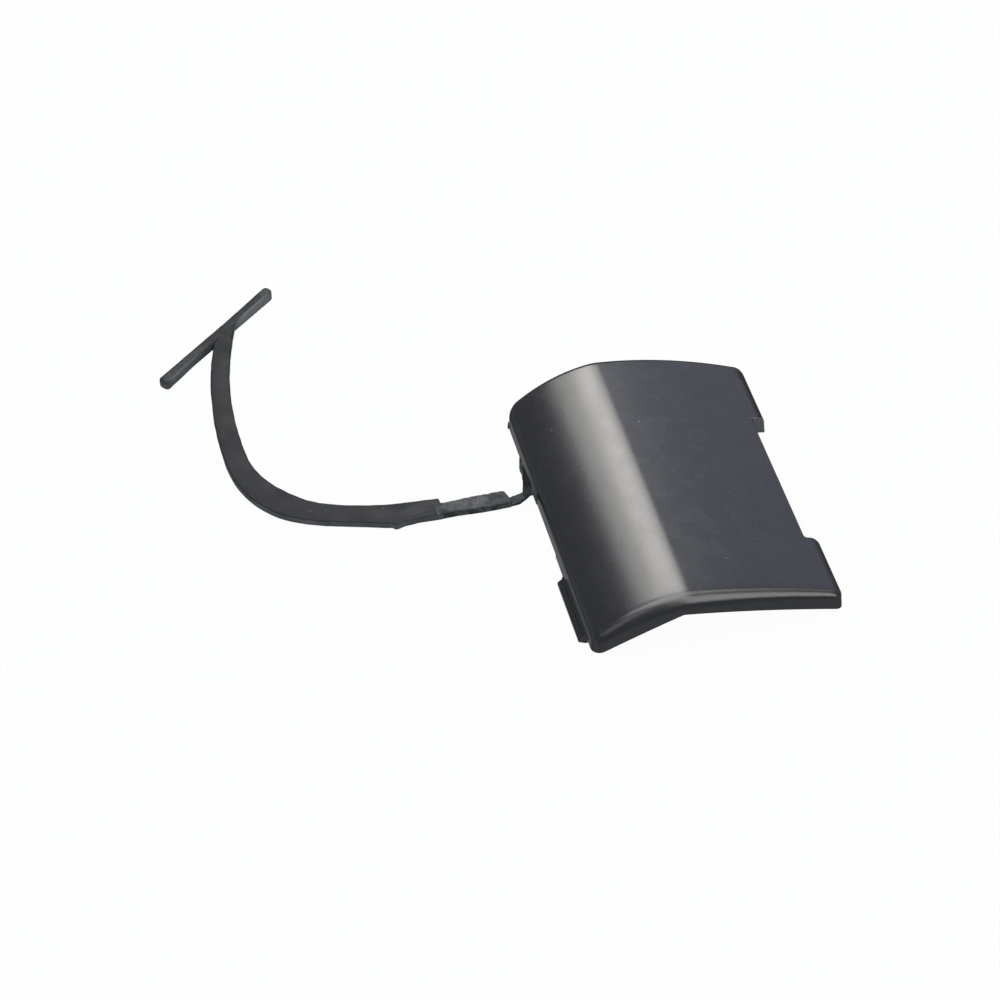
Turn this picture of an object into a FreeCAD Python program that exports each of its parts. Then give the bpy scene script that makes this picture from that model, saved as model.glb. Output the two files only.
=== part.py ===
import FreeCAD, Part
import math
import os

# Bumper tow hook cover with its tether, one moulded piece, in millimetres.
# While it is built, X runs across the cover from its ridge, Y runs along the ridge and Z is up from
# the surface that the part lies on. The last step moves the origin to the middle of the footprint.

NODE = "tow_hook_cover"

# Cover outline seen from above, measured from the ridge and at the middle of the length
LEFT_WIDTH = 20.5
RIGHT_WIDTH = 36.5
MID_LENGTH = 75.0
BACK_BOW = 3.6
FRONT_BOW = 1.1
CORNER_BACK_LEFT = 3.3
CORNER_BACK_RIGHT = 2.7
CORNER_FRONT_LEFT = 3.2
CORNER_FRONT_RIGHT = 1.7

# Section across the ridge. Slopes are in degrees, counted downwards on either side of the ridge
RIDGE_TOP = 15.8
RIDGE_RADIUS = 12.0
LEFT_RADIUS = 38.8
LEFT_START_SLOPE = 2.6
RIGHT_RADIUS = 350.0
RIGHT_START_SLOPE = 9.8
EDGE_BAND = 2.5
EDGE_RADIUS = 5.0
EDGE_END_SLOPE = 55.0

# Shell. The skirts are depths below the section at the left wall, the ridge and the right wall
SKIRT_LEFT = 5.1
SKIRT_RIDGE = 4.9
SKIRT_RIGHT = 5.05
RIGHT_WALL_DRAFT = 5.5
RIGHT_WALL_LEVEL = 6.5
PANEL_THICKNESS = 2.2
WALL_THICKNESS = 2.0
TOP_EDGE_ROUND = 1.4
INSIDE_CORNER = 1.0

# Notch in the right edge, between its two tabs
NOTCH_DEPTH = 3.3
NOTCH_LENGTH = 37.7
NOTCH_MIDDLE = -2.25
NOTCH_CORNER = 0.8

# Stiffening ribs across the underside of the panels
RIB_COUNT = 3
RIB_SPACING = 20.0
RIB_THICKNESS = 1.2
RIB_DEPTH = 1.8

# Clip leg under the left wall, down to the surface that the part lies on
LEG_LENGTH = 15.6
LEG_MIDDLE = -23.2
LEG_THICKNESS = 2.1
LEG_ROOT = 2.4
LEG_SETBACK = 0.3
LEG_BARB = 1.0
LEG_BARB_DROP = 0.4
LEG_BARB_SLOPE = 0.7
LEG_TOE = 0.8

# Hook legs under the two tabs of the right edge
HOOK_LENGTH = 8.5
HOOK_THICKNESS = 2.0
HOOK_SETBACK = 1.5
HOOK_BURIED = 1.5
HOOK_BARB = 0.7
HOOK_BARB_TOP = 2.6
HOOK_BARB_SLOPE = 1.0
HOOK_TOE = 1.0
HOOK_CHAMFER = 0.4

# Tether: where its tab's centreline lies along the cover
TETHER_Y = 13.95

# Relief cut in the left rim, in front of the tether's root
RELIEF_OFFSET = -4.75
RELIEF_LENGTH = 4.8
RELIEF_HEIGHT = 1.6

# Root web under the left wall: points as inwards from the wall, and back from the tab's centreline
ROOT_BOTTOM = 0.5
ROOT_RISE = 0.7
ROOT_DEPTH = 1.3
ROOT_OUTLINE = (
    (0.6, 10.95),
    (0.2, 9.35),
    (-0.1, 7.05),
    (-0.45, 4.55),
    (-0.9, 1.85),
    (-1.4, 0.65),
    (-0.7, -0.35),
)

# Thin link from the root to the tab, points given the same way, then its lap into the tab
LINK_THICKNESS = 1.2
LINK_LAP = 1.2
LINK_BACK = ((0.9, 1.45), (-1.5, 0.95), (-3.6, 0.15))
LINK_FRONT = ((-5.4, -2.25), (-2.5, -2.25), (0.9, 0.25))

# Tab at the near end of the strap
TAB_GAP = 5.3
TAB_LENGTH = 16.7
TAB_WIDTH = 3.4
TAB_THICKNESS = 2.1
TAB_CORNER = 1.1

# Strap: arcs that all bend the same way, as radius and length, and the width where they start and
# end. The bend's own widest place is a distance into the second arc.
STRAP_THICKNESS = 2.0
STRAP_LAP = 1.5
STRAP_STEP_FRONT = 0.1
STRAP_RUN = (72.5, 27.5)
STRAP_BEND = (24.4, 27.1)
STRAP_RISE = (98.5, 43.6)
STRAP_START_WIDTH = 4.9
STRAP_BEND_START_WIDTH = 5.05
STRAP_BEND_WIDTH = 6.15
STRAP_BEND_END_WIDTH = 4.85
STRAP_END_WIDTH = 3.7
STRAP_WIDEST = 9.9
STRAP_SAMPLE = 4.0

# Cross-bar, which the strap meets off its middle
BAR_LENGTH = 39.6
BAR_WIDTH = 2.15
BAR_THICKNESS = 2.0
BAR_ANGLE = 37.7
BAR_SLIDE = 3.3
BAR_CHAMFER = 0.6

# Working room for sections and cutting blocks
OVERRUN = 4.0
CUT_FLOOR = -15.0
CUT_HEIGHT = 60.0


def vec(x, y, z=0.0):
    return FreeCAD.Vector(x, y, z)


def prism(points, height, z=0.0):
    """Upright prism on a closed outline of plan points."""
    corners = [vec(x, y, z) for x, y in points]
    face = Part.Face(Part.makePolygon(corners + [corners[0]]))
    return face.extrude(vec(0, 0, height))


def lengthwise_prism(section, y_from, y_to):
    """Prism along Y on a closed outline of (x, z) points."""
    corners = [vec(x, y_from, z) for x, z in section]
    face = Part.Face(Part.makePolygon(corners + [corners[0]]))
    return face.extrude(vec(0, y_to - y_from, 0))


def arc_point(start, radius, slope_from, slope_to, side, inset=0.0):
    """Point of a downward arc where its slope is slope_to, moved inwards by inset.

    start is the arc's point at slope_from. side is -1 on the left of the ridge and 1 on its right."""
    a = math.radians(slope_from)
    b = math.radians(slope_to)
    x = start[0] + side * radius * (math.sin(b) - math.sin(a))
    z = start[1] - radius * (math.cos(a) - math.cos(b))
    return (x - side * inset * math.sin(b), z - inset * math.cos(b))


def slope_after(radius, slope_from, width):
    """Slope of a downward arc after it has covered the given width."""
    return math.degrees(math.asin(math.sin(math.radians(slope_from)) + width / radius))


RIDGE = (0.0, RIDGE_TOP)
LEFT_JOIN = arc_point(RIDGE, RIDGE_RADIUS, 0.0, LEFT_START_SLOPE, -1)
RIGHT_JOIN = arc_point(RIDGE, RIDGE_RADIUS, 0.0, RIGHT_START_SLOPE, 1)


def top_height(x):
    """Height of the cover's top at x, without the rounded right edge."""
    if x < LEFT_JOIN[0]:
        slope = slope_after(LEFT_RADIUS, LEFT_START_SLOPE, LEFT_JOIN[0] - x)
        return arc_point(LEFT_JOIN, LEFT_RADIUS, LEFT_START_SLOPE, slope, -1)[1]
    slope = slope_after(RIGHT_RADIUS, RIGHT_START_SLOPE, x - RIGHT_JOIN[0])
    return arc_point(RIGHT_JOIN, RIGHT_RADIUS, RIGHT_START_SLOPE, slope, 1)[1]


LEFT_WALL = -LEFT_WIDTH
RIGHT_WALL = RIGHT_WIDTH
LEFT_RIM = top_height(LEFT_WALL) - SKIRT_LEFT
RIDGE_RIM = RIDGE_TOP - SKIRT_RIDGE
RIGHT_RIM = top_height(RIGHT_WALL) - SKIRT_RIGHT
NOTCH_WALL = RIGHT_WALL - NOTCH_DEPTH
NOTCH_FRONT = NOTCH_MIDDLE - 0.5 * NOTCH_LENGTH
NOTCH_BACK = NOTCH_MIDDLE + 0.5 * NOTCH_LENGTH
FRONT_END = -0.5 * MID_LENGTH - FRONT_BOW
BACK_END = 0.5 * MID_LENGTH - BACK_BOW


def section_arc(start, radius, slope_from, slope_to, side, inset, y):
    """One arc of the cover's section as an edge in the plane at y."""
    slopes = (slope_from, 0.5 * (slope_from + slope_to), slope_to)
    points = [arc_point(start, radius, slope_from, slope, side, inset) for slope in slopes]
    return Part.Arc(*[vec(x, y, z) for x, z in points]).toShape()


def cover_section(y, inset=0.0):
    """Edges of the section from past the left wall to past the right wall, moved inwards by inset."""
    left_slope = slope_after(LEFT_RADIUS, LEFT_START_SLOPE, LEFT_JOIN[0] - LEFT_WALL + OVERRUN)
    edge_slope = slope_after(RIGHT_RADIUS, RIGHT_START_SLOPE, RIGHT_WALL - EDGE_BAND - RIGHT_JOIN[0])
    edge_join = arc_point(RIGHT_JOIN, RIGHT_RADIUS, RIGHT_START_SLOPE, edge_slope, 1)
    end = arc_point(edge_join, EDGE_RADIUS, edge_slope, EDGE_END_SLOPE, 1, inset)
    fall = math.radians(EDGE_END_SLOPE)
    tail = (end[0] + 2.0 * OVERRUN * math.cos(fall), end[1] - 2.0 * OVERRUN * math.sin(fall))
    return [
        section_arc(LEFT_JOIN, LEFT_RADIUS, LEFT_START_SLOPE, left_slope, -1, inset, y),
        section_arc(RIDGE, RIDGE_RADIUS, 0.0, LEFT_START_SLOPE, -1, inset, y),
        section_arc(RIDGE, RIDGE_RADIUS, 0.0, RIGHT_START_SLOPE, 1, inset, y),
        section_arc(RIGHT_JOIN, RIGHT_RADIUS, RIGHT_START_SLOPE, edge_slope, 1, inset, y),
        section_arc(edge_join, EDGE_RADIUS, edge_slope, EDGE_END_SLOPE, 1, inset, y),
        Part.makeLine(vec(end[0], y, end[1]), vec(tail[0], y, tail[1])),
    ]


def rim_section(y):
    """Straight lines of the skirt's lower rim, carried on past both walls."""
    left_rise = (RIDGE_RIM - LEFT_RIM) / LEFT_WIDTH
    right_fall = (RIDGE_RIM - RIGHT_RIM) / RIGHT_WIDTH
    left_x = LEFT_WALL - OVERRUN
    right_x = RIGHT_WALL + 2.0 * OVERRUN
    left = vec(left_x, y, RIDGE_RIM + left_rise * left_x)
    ridge = vec(0.0, y, RIDGE_RIM)
    right = vec(right_x, y, RIDGE_RIM - right_fall * right_x)
    return [Part.makeLine(left, ridge), Part.makeLine(ridge, right)]


def end_points(edges):
    """Leftmost and rightmost points of a section."""
    points = [v.Point for edge in edges for v in edge.Vertexes]
    points.sort(key=lambda p: p.x)
    return points[0], points[-1]


def band(upper, lower):
    """Solid between two sections at the same place, extruded along the cover."""
    upper_left, upper_right = end_points(upper)
    lower_left, lower_right = end_points(lower)
    sides = [Part.makeLine(upper_left, lower_left), Part.makeLine(upper_right, lower_right)]
    wire = Part.Wire(Part.__sortEdges__(upper + lower + sides))
    return Part.Face(wire).extrude(vec(0, 2.0 * MID_LENGTH, 0))


def below(upper):
    """Solid under a section, down to the cutting floor, extruded along the cover."""
    left, right = end_points(upper)
    low_left = vec(left.x, left.y, CUT_FLOOR)
    low_right = vec(right.x, right.y, CUT_FLOOR)
    corners = (left, low_left, low_right, right)
    sides = [Part.makeLine(start, end) for start, end in zip(corners, corners[1:])]
    wire = Part.Wire(Part.__sortEdges__(upper + sides))
    return Part.Face(wire).extrude(vec(0, 2.0 * MID_LENGTH, 0))


def bow_point(x_from, x_to, end_y, middle_y, x):
    """Point of a bowed end at x. The bow passes both walls at end_y and its middle at middle_y."""
    half = 0.5 * (x_to - x_from)
    rise = middle_y - end_y
    radius = (half ** 2 + rise ** 2) / (2.0 * rise)
    reach = x - 0.5 * (x_from + x_to)
    return vec(x, middle_y - radius + math.sqrt(radius ** 2 - reach ** 2), CUT_FLOOR)


def plan_block(inset, corners):
    """Tall block on the cover's bowed outline, moved inwards by inset. Its right wall leans."""
    x0 = LEFT_WALL + inset
    x1 = RIGHT_WALL - inset
    past = x1 + 2.0 * OVERRUN
    spots = (x0, 0.5 * (x0 + past), past)
    back = [bow_point(x0, x1, BACK_END - inset, BACK_END + BACK_BOW - inset, x) for x in spots]
    front = [bow_point(x0, x1, FRONT_END + inset, FRONT_END + FRONT_BOW + inset, x) for x in spots]
    edges = [
        Part.makeLine(front[0], back[0]),
        Part.Arc(*back).toShape(),
        Part.makeLine(back[-1], front[-1]),
        Part.Arc(*front).toShape(),
    ]
    block = Part.Face(Part.Wire(Part.__sortEdges__(edges))).extrude(vec(0, 0, CUT_HEIGHT))
    lean = math.tan(math.radians(RIGHT_WALL_DRAFT))
    ceiling = CUT_FLOOR + CUT_HEIGHT
    low = x1 + lean * (RIGHT_WALL_LEVEL - CUT_FLOOR)
    high = x1 - lean * (ceiling - RIGHT_WALL_LEVEL)
    wedge = ((x0 - OVERRUN, CUT_FLOOR), (low, CUT_FLOOR), (high, ceiling), (x0 - OVERRUN, ceiling))
    block = block.common(lengthwise_prism(wedge, -MID_LENGTH, MID_LENGTH)).Solids[0]
    places = ((x0, back[0].y), (x1, BACK_END - inset), (x0, front[0].y), (x1, FRONT_END + inset))
    for (x, y), radius in zip(places, corners):
        block = block.makeFillet(radius, [upright_edge(block, x, y)])
    return block


def upright_edge(shape, x, y):
    """The upright or slightly leaning edge of a block that is nearest to a plan point."""
    best = None
    for edge in shape.Edges:
        ends = [v.Point for v in edge.Vertexes]
        if len(ends) == 2 and abs(ends[0].z - ends[1].z) > 0.8 * shape.BoundBox.ZLength:
            miss = sum(abs(p.x - x) + abs(p.y - y) for p in ends)
            if best is None or miss < best[0]:
                best = (miss, edge)
    return best[1]


def top_rim_edges(shape):
    """Edges where the cover's top meets its walls."""
    found = []
    for edge in shape.Edges:
        point = edge.valueAt(0.5 * (edge.FirstParameter + edge.LastParameter))
        lifts = []
        for face in shape.ancestorsOfType(edge, Part.Face):
            u, v = face.Surface.parameter(point)
            lifts.append(face.normalAt(u, v).z)
        if len(lifts) == 2 and max(lifts) > 0.3 and min(abs(lift) for lift in lifts) < 0.15:
            found.append(edge)
    return found


def notch(grow):
    """Block that cuts the notch, or that keeps a wall of thickness grow around it."""
    x = NOTCH_WALL - grow
    front = NOTCH_FRONT - grow
    back = NOTCH_BACK + grow
    depth = NOTCH_DEPTH + grow + 2.0 * OVERRUN
    block = Part.makeBox(depth, back - front, CUT_HEIGHT, vec(x, front, CUT_FLOOR))
    return block.makeFillet(NOTCH_CORNER, [upright_edge(block, x, front), upright_edge(block, x, back)])


def outer_body():
    """Bent block with bowed ends and rounded top edges, notched but not yet hollow."""
    y = -MID_LENGTH
    corners = (CORNER_BACK_LEFT, CORNER_BACK_RIGHT, CORNER_FRONT_LEFT, CORNER_FRONT_RIGHT)
    block = plan_block(0.0, corners).common(band(cover_section(y), rim_section(y))).Solids[0]
    return block.makeFillet(TOP_EDGE_ROUND, top_rim_edges(block)).cut(notch(0.0))


def hollow():
    """Space under the panels, inside the skirt and around the notch."""
    inner = plan_block(WALL_THICKNESS, (INSIDE_CORNER,) * 4)
    return inner.common(below(cover_section(-MID_LENGTH, PANEL_THICKNESS))).cut(notch(WALL_THICKNESS))


def relief():
    """Cut in the left rim in front of the tether's root."""
    middle = TETHER_Y + RELIEF_OFFSET
    corner = vec(LEFT_WALL - WALL_THICKNESS, middle - 0.5 * RELIEF_LENGTH, 0.0)
    return Part.makeBox(2.0 * WALL_THICKNESS, RELIEF_LENGTH, LEFT_RIM + RELIEF_HEIGHT, corner)


def ribs():
    """Shallow ribs that follow the underside of both panels."""
    y = -MID_LENGTH
    layer = band(cover_section(y, 0.5 * PANEL_THICKNESS), cover_section(y, PANEL_THICKNESS + RIB_DEPTH))
    inside = plan_block(0.5 * WALL_THICKNESS, (INSIDE_CORNER,) * 4).cut(notch(0.5 * WALL_THICKNESS))
    layer = layer.common(inside)
    first = -0.5 * RIB_SPACING * (RIB_COUNT - 1)
    result = []
    for number in range(RIB_COUNT):
        front = first + number * RIB_SPACING - 0.5 * RIB_THICKNESS
        corner = vec(LEFT_WALL, front, CUT_FLOOR)
        result.append(layer.common(Part.makeBox(LEFT_WIDTH + RIGHT_WIDTH, RIB_THICKNESS, CUT_HEIGHT, corner)))
    return result


def clip_leg():
    """Clip leg with an outward barb, from inside the left wall down to the ground."""
    inner = LEFT_WALL + LEG_THICKNESS
    neck = LEFT_WALL + LEG_SETBACK
    tip = LEFT_WALL - LEG_BARB
    top = LEFT_RIM + LEG_ROOT
    shoulder = LEFT_RIM - LEG_BARB_DROP
    section = (
        (inner, top),
        (neck, top),
        (neck, LEFT_RIM),
        (LEFT_WALL, shoulder),
        (tip, shoulder - LEG_BARB_SLOPE),
        (tip, LEG_TOE),
        (LEFT_WALL, 0.0),
        (inner, 0.0),
    )
    return lengthwise_prism(section, LEG_MIDDLE - 0.5 * LEG_LENGTH, LEG_MIDDLE + 0.5 * LEG_LENGTH)


def hook_legs():
    """Hook legs under the middle of each tab of the right edge, with their barbs outwards."""
    outer = RIGHT_WALL - HOOK_SETBACK
    inner = outer - HOOK_THICKNESS
    tip = outer + HOOK_BARB
    top = top_height(inner) - HOOK_BURIED
    section = (
        (inner, top),
        (inner, HOOK_CHAMFER),
        (inner + HOOK_CHAMFER, 0.0),
        (outer - HOOK_CHAMFER, 0.0),
        (tip, HOOK_TOE),
        (tip, HOOK_BARB_TOP),
        (outer, HOOK_BARB_TOP + HOOK_BARB_SLOPE),
        (outer, top),
    )
    middles = (0.5 * (FRONT_END + NOTCH_FRONT), 0.5 * (NOTCH_BACK + BACK_END))
    half = 0.5 * HOOK_LENGTH
    return [lengthwise_prism(section, middle - half, middle + half) for middle in middles]


def beside_wall(points):
    """Plan points from pairs of inwards from the left wall and back from the tab's centreline."""
    return [(LEFT_WALL + inwards, TETHER_Y + back) for inwards, back in points]


def tether_root():
    """Web that hangs from the left wall and carries the link."""
    inner = ((ROOT_DEPTH, ROOT_OUTLINE[-1][1]), (ROOT_DEPTH, ROOT_OUTLINE[0][1]))
    top = LEFT_RIM + ROOT_RISE
    return prism(beside_wall(ROOT_OUTLINE + inner), top - ROOT_BOTTOM, ROOT_BOTTOM)


def link():
    """Thin link that laps under the root and into the tab."""
    lap = -TAB_GAP - LINK_LAP
    into_tab = ((lap, LINK_BACK[-1][1]), (lap, LINK_FRONT[0][1] + 0.25 * TAB_WIDTH))
    return prism(beside_wall(LINK_BACK + into_tab + LINK_FRONT), LINK_THICKNESS)


def tab():
    """Narrow tab between the link and the strap, rounded at its free back corner."""
    near = LEFT_WALL - TAB_GAP
    far = near - TAB_LENGTH
    front = TETHER_Y - 0.5 * TAB_WIDTH
    back = TETHER_Y + 0.5 * TAB_WIDTH
    block = prism(((near, front), (near, back), (far, back), (far, front)), TAB_THICKNESS)
    return block.makeFillet(TAB_CORNER, [upright_edge(block, near, back)])


def strap_width(distance):
    """Width of the strap at a distance along it."""
    bend_start = STRAP_RUN[1]
    bend_end = bend_start + STRAP_BEND[1]
    marks = (
        (0.0, STRAP_START_WIDTH),
        (bend_start, STRAP_BEND_START_WIDTH),
        (bend_start + STRAP_WIDEST, STRAP_BEND_WIDTH),
        (bend_end, STRAP_BEND_END_WIDTH),
        (bend_end + STRAP_RISE[1], STRAP_END_WIDTH),
    )
    for (s0, w0), (s1, w1) in zip(marks, marks[1:]):
        if distance <= s1:
            return w0 + (w1 - w0) * (distance - s0) / (s1 - s0)
    return STRAP_END_WIDTH


def strap_line():
    """Stations along the strap's centreline: x, y, heading and distance."""
    x = LEFT_WALL - TAB_GAP - TAB_LENGTH + STRAP_LAP
    y = TETHER_Y - 0.5 * TAB_WIDTH + STRAP_STEP_FRONT + 0.5 * STRAP_START_WIDTH
    heading = math.pi
    done = 0.0
    stations = [(x, y, heading, done)]
    for radius, length in (STRAP_RUN, STRAP_BEND, STRAP_RISE):
        count = int(math.ceil(length / STRAP_SAMPLE))
        step = length / count
        chord = 2.0 * radius * math.sin(0.5 * step / radius)
        for _ in range(count):
            middle = heading - 0.5 * step / radius
            x += chord * math.cos(middle)
            y += chord * math.sin(middle)
            heading -= step / radius
            done += step
            stations.append((x, y, heading, done))
    return stations


def bar_middle():
    """The cross-bar's middle. The strap's centreline ends on the bar's own line."""
    x, y, _, _ = strap_line()[-1]
    angle = math.radians(BAR_ANGLE)
    return vec(x - BAR_SLIDE * math.cos(angle), y - BAR_SLIDE * math.sin(angle))


def strap():
    """Flat curved strap, carried on past its end and trimmed along the cross-bar's line."""
    stations = strap_line()
    x, y, heading, done = stations[-1]
    x += STRAP_END_WIDTH * math.cos(heading)
    y += STRAP_END_WIDTH * math.sin(heading)
    stations.append((x, y, heading, done + STRAP_END_WIDTH))
    outer = []
    inner = []
    for x, y, heading, done in stations:
        half = 0.5 * strap_width(done)
        outer.append(vec(x - half * math.sin(heading), y + half * math.cos(heading)))
        inner.append(vec(x + half * math.sin(heading), y - half * math.cos(heading)))
    outer_side = Part.BSplineCurve()
    outer_side.interpolate(outer)
    inner_side = Part.BSplineCurve()
    inner_side.interpolate(inner)
    edges = [
        outer_side.toShape(),
        Part.makeLine(outer[-1], inner[-1]),
        inner_side.toShape(),
        Part.makeLine(inner[0], outer[0]),
    ]
    solid = Part.Face(Part.Wire(Part.__sortEdges__(edges))).extrude(vec(0, 0, STRAP_THICKNESS))
    past = Part.makeBox(BAR_LENGTH, BAR_LENGTH, 2.0 * STRAP_THICKNESS, vec(-0.5 * BAR_LENGTH, 0, 0))
    return solid.cut(beside_bar(past))


def beside_bar(shape):
    """Turns and moves a shape from the origin to the cross-bar's place."""
    shape.rotate(vec(0, 0), vec(0, 0, 1), BAR_ANGLE)
    shape.translate(bar_middle())
    return shape


def cross_bar():
    """Straight cross-bar with chamfered ends."""
    end = 0.5 * BAR_LENGTH
    side = 0.5 * BAR_WIDTH
    run = end - BAR_CHAMFER
    tip = side - BAR_CHAMFER
    outline = ((-end, -tip), (-run, -side), (run, -side), (end, -tip),
               (end, tip), (run, side), (-run, side), (-end, tip))
    return beside_bar(prism(outline, BAR_THICKNESS))


def build():
    """The whole moulding as one solid, with its origin in the middle of its footprint."""
    shell = outer_body().cut(hollow()).cut(relief())
    pieces = ribs() + hook_legs() + [clip_leg(), tether_root(), link(), tab(), strap(), cross_bar()]
    whole = shell.fuse(pieces).removeSplitter()
    if len(whole.Solids) != 1:
        raise RuntimeError("the moulding is %d solids" % len(whole.Solids))
    solid = whole.Solids[0]
    box = solid.optimalBoundingBox(False, False)
    move = vec(-0.5 * (box.XMin + box.XMax), -0.5 * (box.YMin + box.YMax), -box.ZMin)
    solid.translate(move)
    if not solid.isValid():
        raise RuntimeError("the solid is not valid")
    print(NODE, "moved by", round(move.x, 3), round(move.y, 3), round(move.z, 3))
    return solid


def main():
    os.makedirs("parts", exist_ok=True)
    shape = build()
    shape.exportStep("parts/" + NODE + ".step")
    box = shape.optimalBoundingBox(False, False)
    print(NODE, "size mm", round(box.XLength, 3), round(box.YLength, 3), round(box.ZLength, 3))
    print(NODE, "volume mm3", round(shape.Volume, 1))


main()
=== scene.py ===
import math

import bmesh
import bpy
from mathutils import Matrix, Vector, noise
from mathutils.geometry import delaunay_2d_cdt


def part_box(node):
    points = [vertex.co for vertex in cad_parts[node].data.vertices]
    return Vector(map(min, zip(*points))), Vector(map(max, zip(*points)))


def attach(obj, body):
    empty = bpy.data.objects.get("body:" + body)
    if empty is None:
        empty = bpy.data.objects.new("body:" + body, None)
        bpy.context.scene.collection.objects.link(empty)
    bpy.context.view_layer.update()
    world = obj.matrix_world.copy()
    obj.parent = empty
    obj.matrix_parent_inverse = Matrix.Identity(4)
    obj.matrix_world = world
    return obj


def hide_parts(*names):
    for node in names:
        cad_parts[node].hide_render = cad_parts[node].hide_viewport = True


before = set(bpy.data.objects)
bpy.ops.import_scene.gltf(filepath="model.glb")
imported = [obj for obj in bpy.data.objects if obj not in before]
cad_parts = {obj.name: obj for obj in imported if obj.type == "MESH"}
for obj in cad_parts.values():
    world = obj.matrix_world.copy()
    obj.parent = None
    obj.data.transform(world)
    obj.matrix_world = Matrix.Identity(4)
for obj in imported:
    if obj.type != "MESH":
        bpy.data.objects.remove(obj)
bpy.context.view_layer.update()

bl_info = {
    "name": "Bumper tow hook cover",
    "version": (1, 0, 0),
    "blender": (4, 5, 0),
    "location": "View3D > Sidebar > Tow Cover",
    "description": "Builds a bumper tow hook cover with its moulded tether",
    "category": "Add Mesh",
}

NODE = "tow_hook_cover"
BODY = "root"
MM = 0.001

# Shapes are worked out in millimetres, with X across the cover from its ridge, Y along the ridge and
# Z up from the floor. put_mesh moves them to their place in the frame.
RIGHT_WALL_DRAFT = math.radians(5.5)
RIGHT_WALL_LEVEL = 6.5
LEFT_START_SLOPE = math.radians(2.6)
RIGHT_START_SLOPE = math.radians(9.8)
EDGE_END_SLOPE = math.radians(55.0)
CORNER_RADII = {(-1, 1): 3.3, (1, 1): 2.7, (-1, -1): 2.6, (1, -1): 1.7}
CORNER_SHARE = 0.95
CORNER_EASES = {-1: 0.07, 1: 0.045}
LEAST_CORNER = 1.0
NOTCH_CORNER = 0.8
NOTCH_TIP = 2.0
CRISP_EDGE = 0.2
INSIDE_ROUND = 0.6
INSIDE_SOFT = 0.3
LEAST_SIDE = 0.1
QUARTER = 0.5 * math.pi
SMOOTH_ANGLE = math.radians(35.0)
MERGE_DISTANCE = 1e-7

CORNER_COUNT = 12
BOW_COUNT = 72
WALL_COUNT = 60
TAB_COUNT = 14
NOTCH_COUNT = 30
SIDE_COUNT = 4
TURN_COUNT = 6
ROUND_COUNT = 10
WALL_ROWS = 4


def length(name, description, millimetres):
    """A size that is shown with a length unit."""
    return bpy.props.FloatProperty(
        name=name, description=description, default=millimetres * MM, min=0.0, unit="LENGTH", precision=5)


def colour(name, description, value):
    return bpy.props.FloatVectorProperty(
        name=name, description=description, default=value, size=3, min=0.0, max=1.0, subtype="COLOR")


class TowCoverSizes(bpy.types.PropertyGroup):
    left_width: length("Narrow panel", "Width from the ridge to the left wall", 20.5)
    right_width: length("Wide panel", "Width from the ridge to the right wall", 36.5)
    mid_length: length("Length", "Length along the middle of the cover", 75.0)
    back_bow: length("Back bow", "How far the back end bows out", 3.6)
    front_bow: length("Front bow", "How far the front end bows in", 1.1)
    ridge_top: length("Ridge height", "Height of the ridge above the floor", 15.8)
    ridge_radius: length("Ridge radius", "Rounding of the ridge", 12.0)
    left_radius: length("Narrow panel radius", "Curve of the narrow panel", 38.8)
    right_radius: length("Wide panel radius", "Curve of the wide panel", 350.0)
    edge_band: length("Edge band", "Width of the rolled right edge", 2.5)
    edge_radius: length("Edge radius", "Curve of the rolled right edge", 5.0)
    edge_round: length("Edge rounding", "Rounding of the back and right top edges", 1.4)
    front_round: length("Front rounding", "Rounding of the front top edge", 3.0)
    left_round: length("Left rounding", "Rounding of the left top edge", 3.2)
    skirt_left: length("Left skirt", "Depth of the skirt at the left wall", 5.1)
    skirt_ridge: length("Ridge skirt", "Depth of the skirt under the ridge", 4.9)
    skirt_right: length("Right skirt", "Depth of the skirt at the right wall", 5.05)
    panel: length("Panel thickness", "Thickness of the panels", 2.2)
    wall: length("Wall thickness", "Thickness of the skirt", 2.0)
    notch_depth: length("Notch depth", "Depth of the notch in the right edge", 3.3)
    notch_length: length("Notch length", "Length of the notch in the right edge", 37.7)
    notch_offset: length("Notch offset", "How far the notch lies in front of the middle", 2.25)


class TowTetherSizes(bpy.types.PropertyGroup):
    line: length("Tab line", "How far behind the cover's middle the tab lies", 13.95)
    gap: length("Link length", "From the left wall to the tab", 5.3)
    tab_length: length("Tab length", "Length of the narrow tab", 16.7)
    tab_width: length("Tab width", "Width of the narrow tab", 3.4)
    strap_width: length("Strap width", "Width of the strap at the tab", 4.9)
    bend_width: length("Bend width", "Width of the strap at its bend", 6.15)
    end_width: length("End width", "Width of the strap at the cross-bar", 3.7)
    thickness: length("Thickness", "Thickness of the strap", 2.0)
    bar_length: length("Bar length", "Length of the cross-bar", 39.6)
    bar_width: length("Bar width", "Width of the cross-bar", 2.5)


class TowCoverLooks(bpy.types.PropertyGroup):
    plastic: colour("Cover plastic", "Colour of the moulded cover", (0.0150, 0.0150, 0.0195))
    tether: colour("Tether plastic", "Colour of the rougher tether", (0.0185, 0.0185, 0.0220))
    torn: colour("Torn plastic", "Colour of the rough tab and link", (0.045, 0.045, 0.048))
    floor: colour("Floor", "Colour of the pale floor", (0.86, 0.86, 0.86))


def arc_point(start, radius, slope_from, slope_to, side):
    """Point of a downward arc where its slope is slope_to, in radians."""
    x = start[0] + side * radius * (math.sin(slope_to) - math.sin(slope_from))
    return x, start[1] - radius * (math.cos(slope_from) - math.cos(slope_to))


def slope_after(radius, slope_from, width):
    """Slope of a downward arc after it has covered the given width."""
    return math.asin(math.sin(slope_from) + width / radius)


def arc_points(centre, radius, start, end, count):
    """Points of an arc, with the outward direction at each."""
    found = []
    for i in range(count + 1):
        angle = start + (end - start) * i / count
        way = (math.cos(angle), math.sin(angle))
        found.append(((centre[0] + radius * way[0], centre[1] + radius * way[1]), way))
    return found


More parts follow.
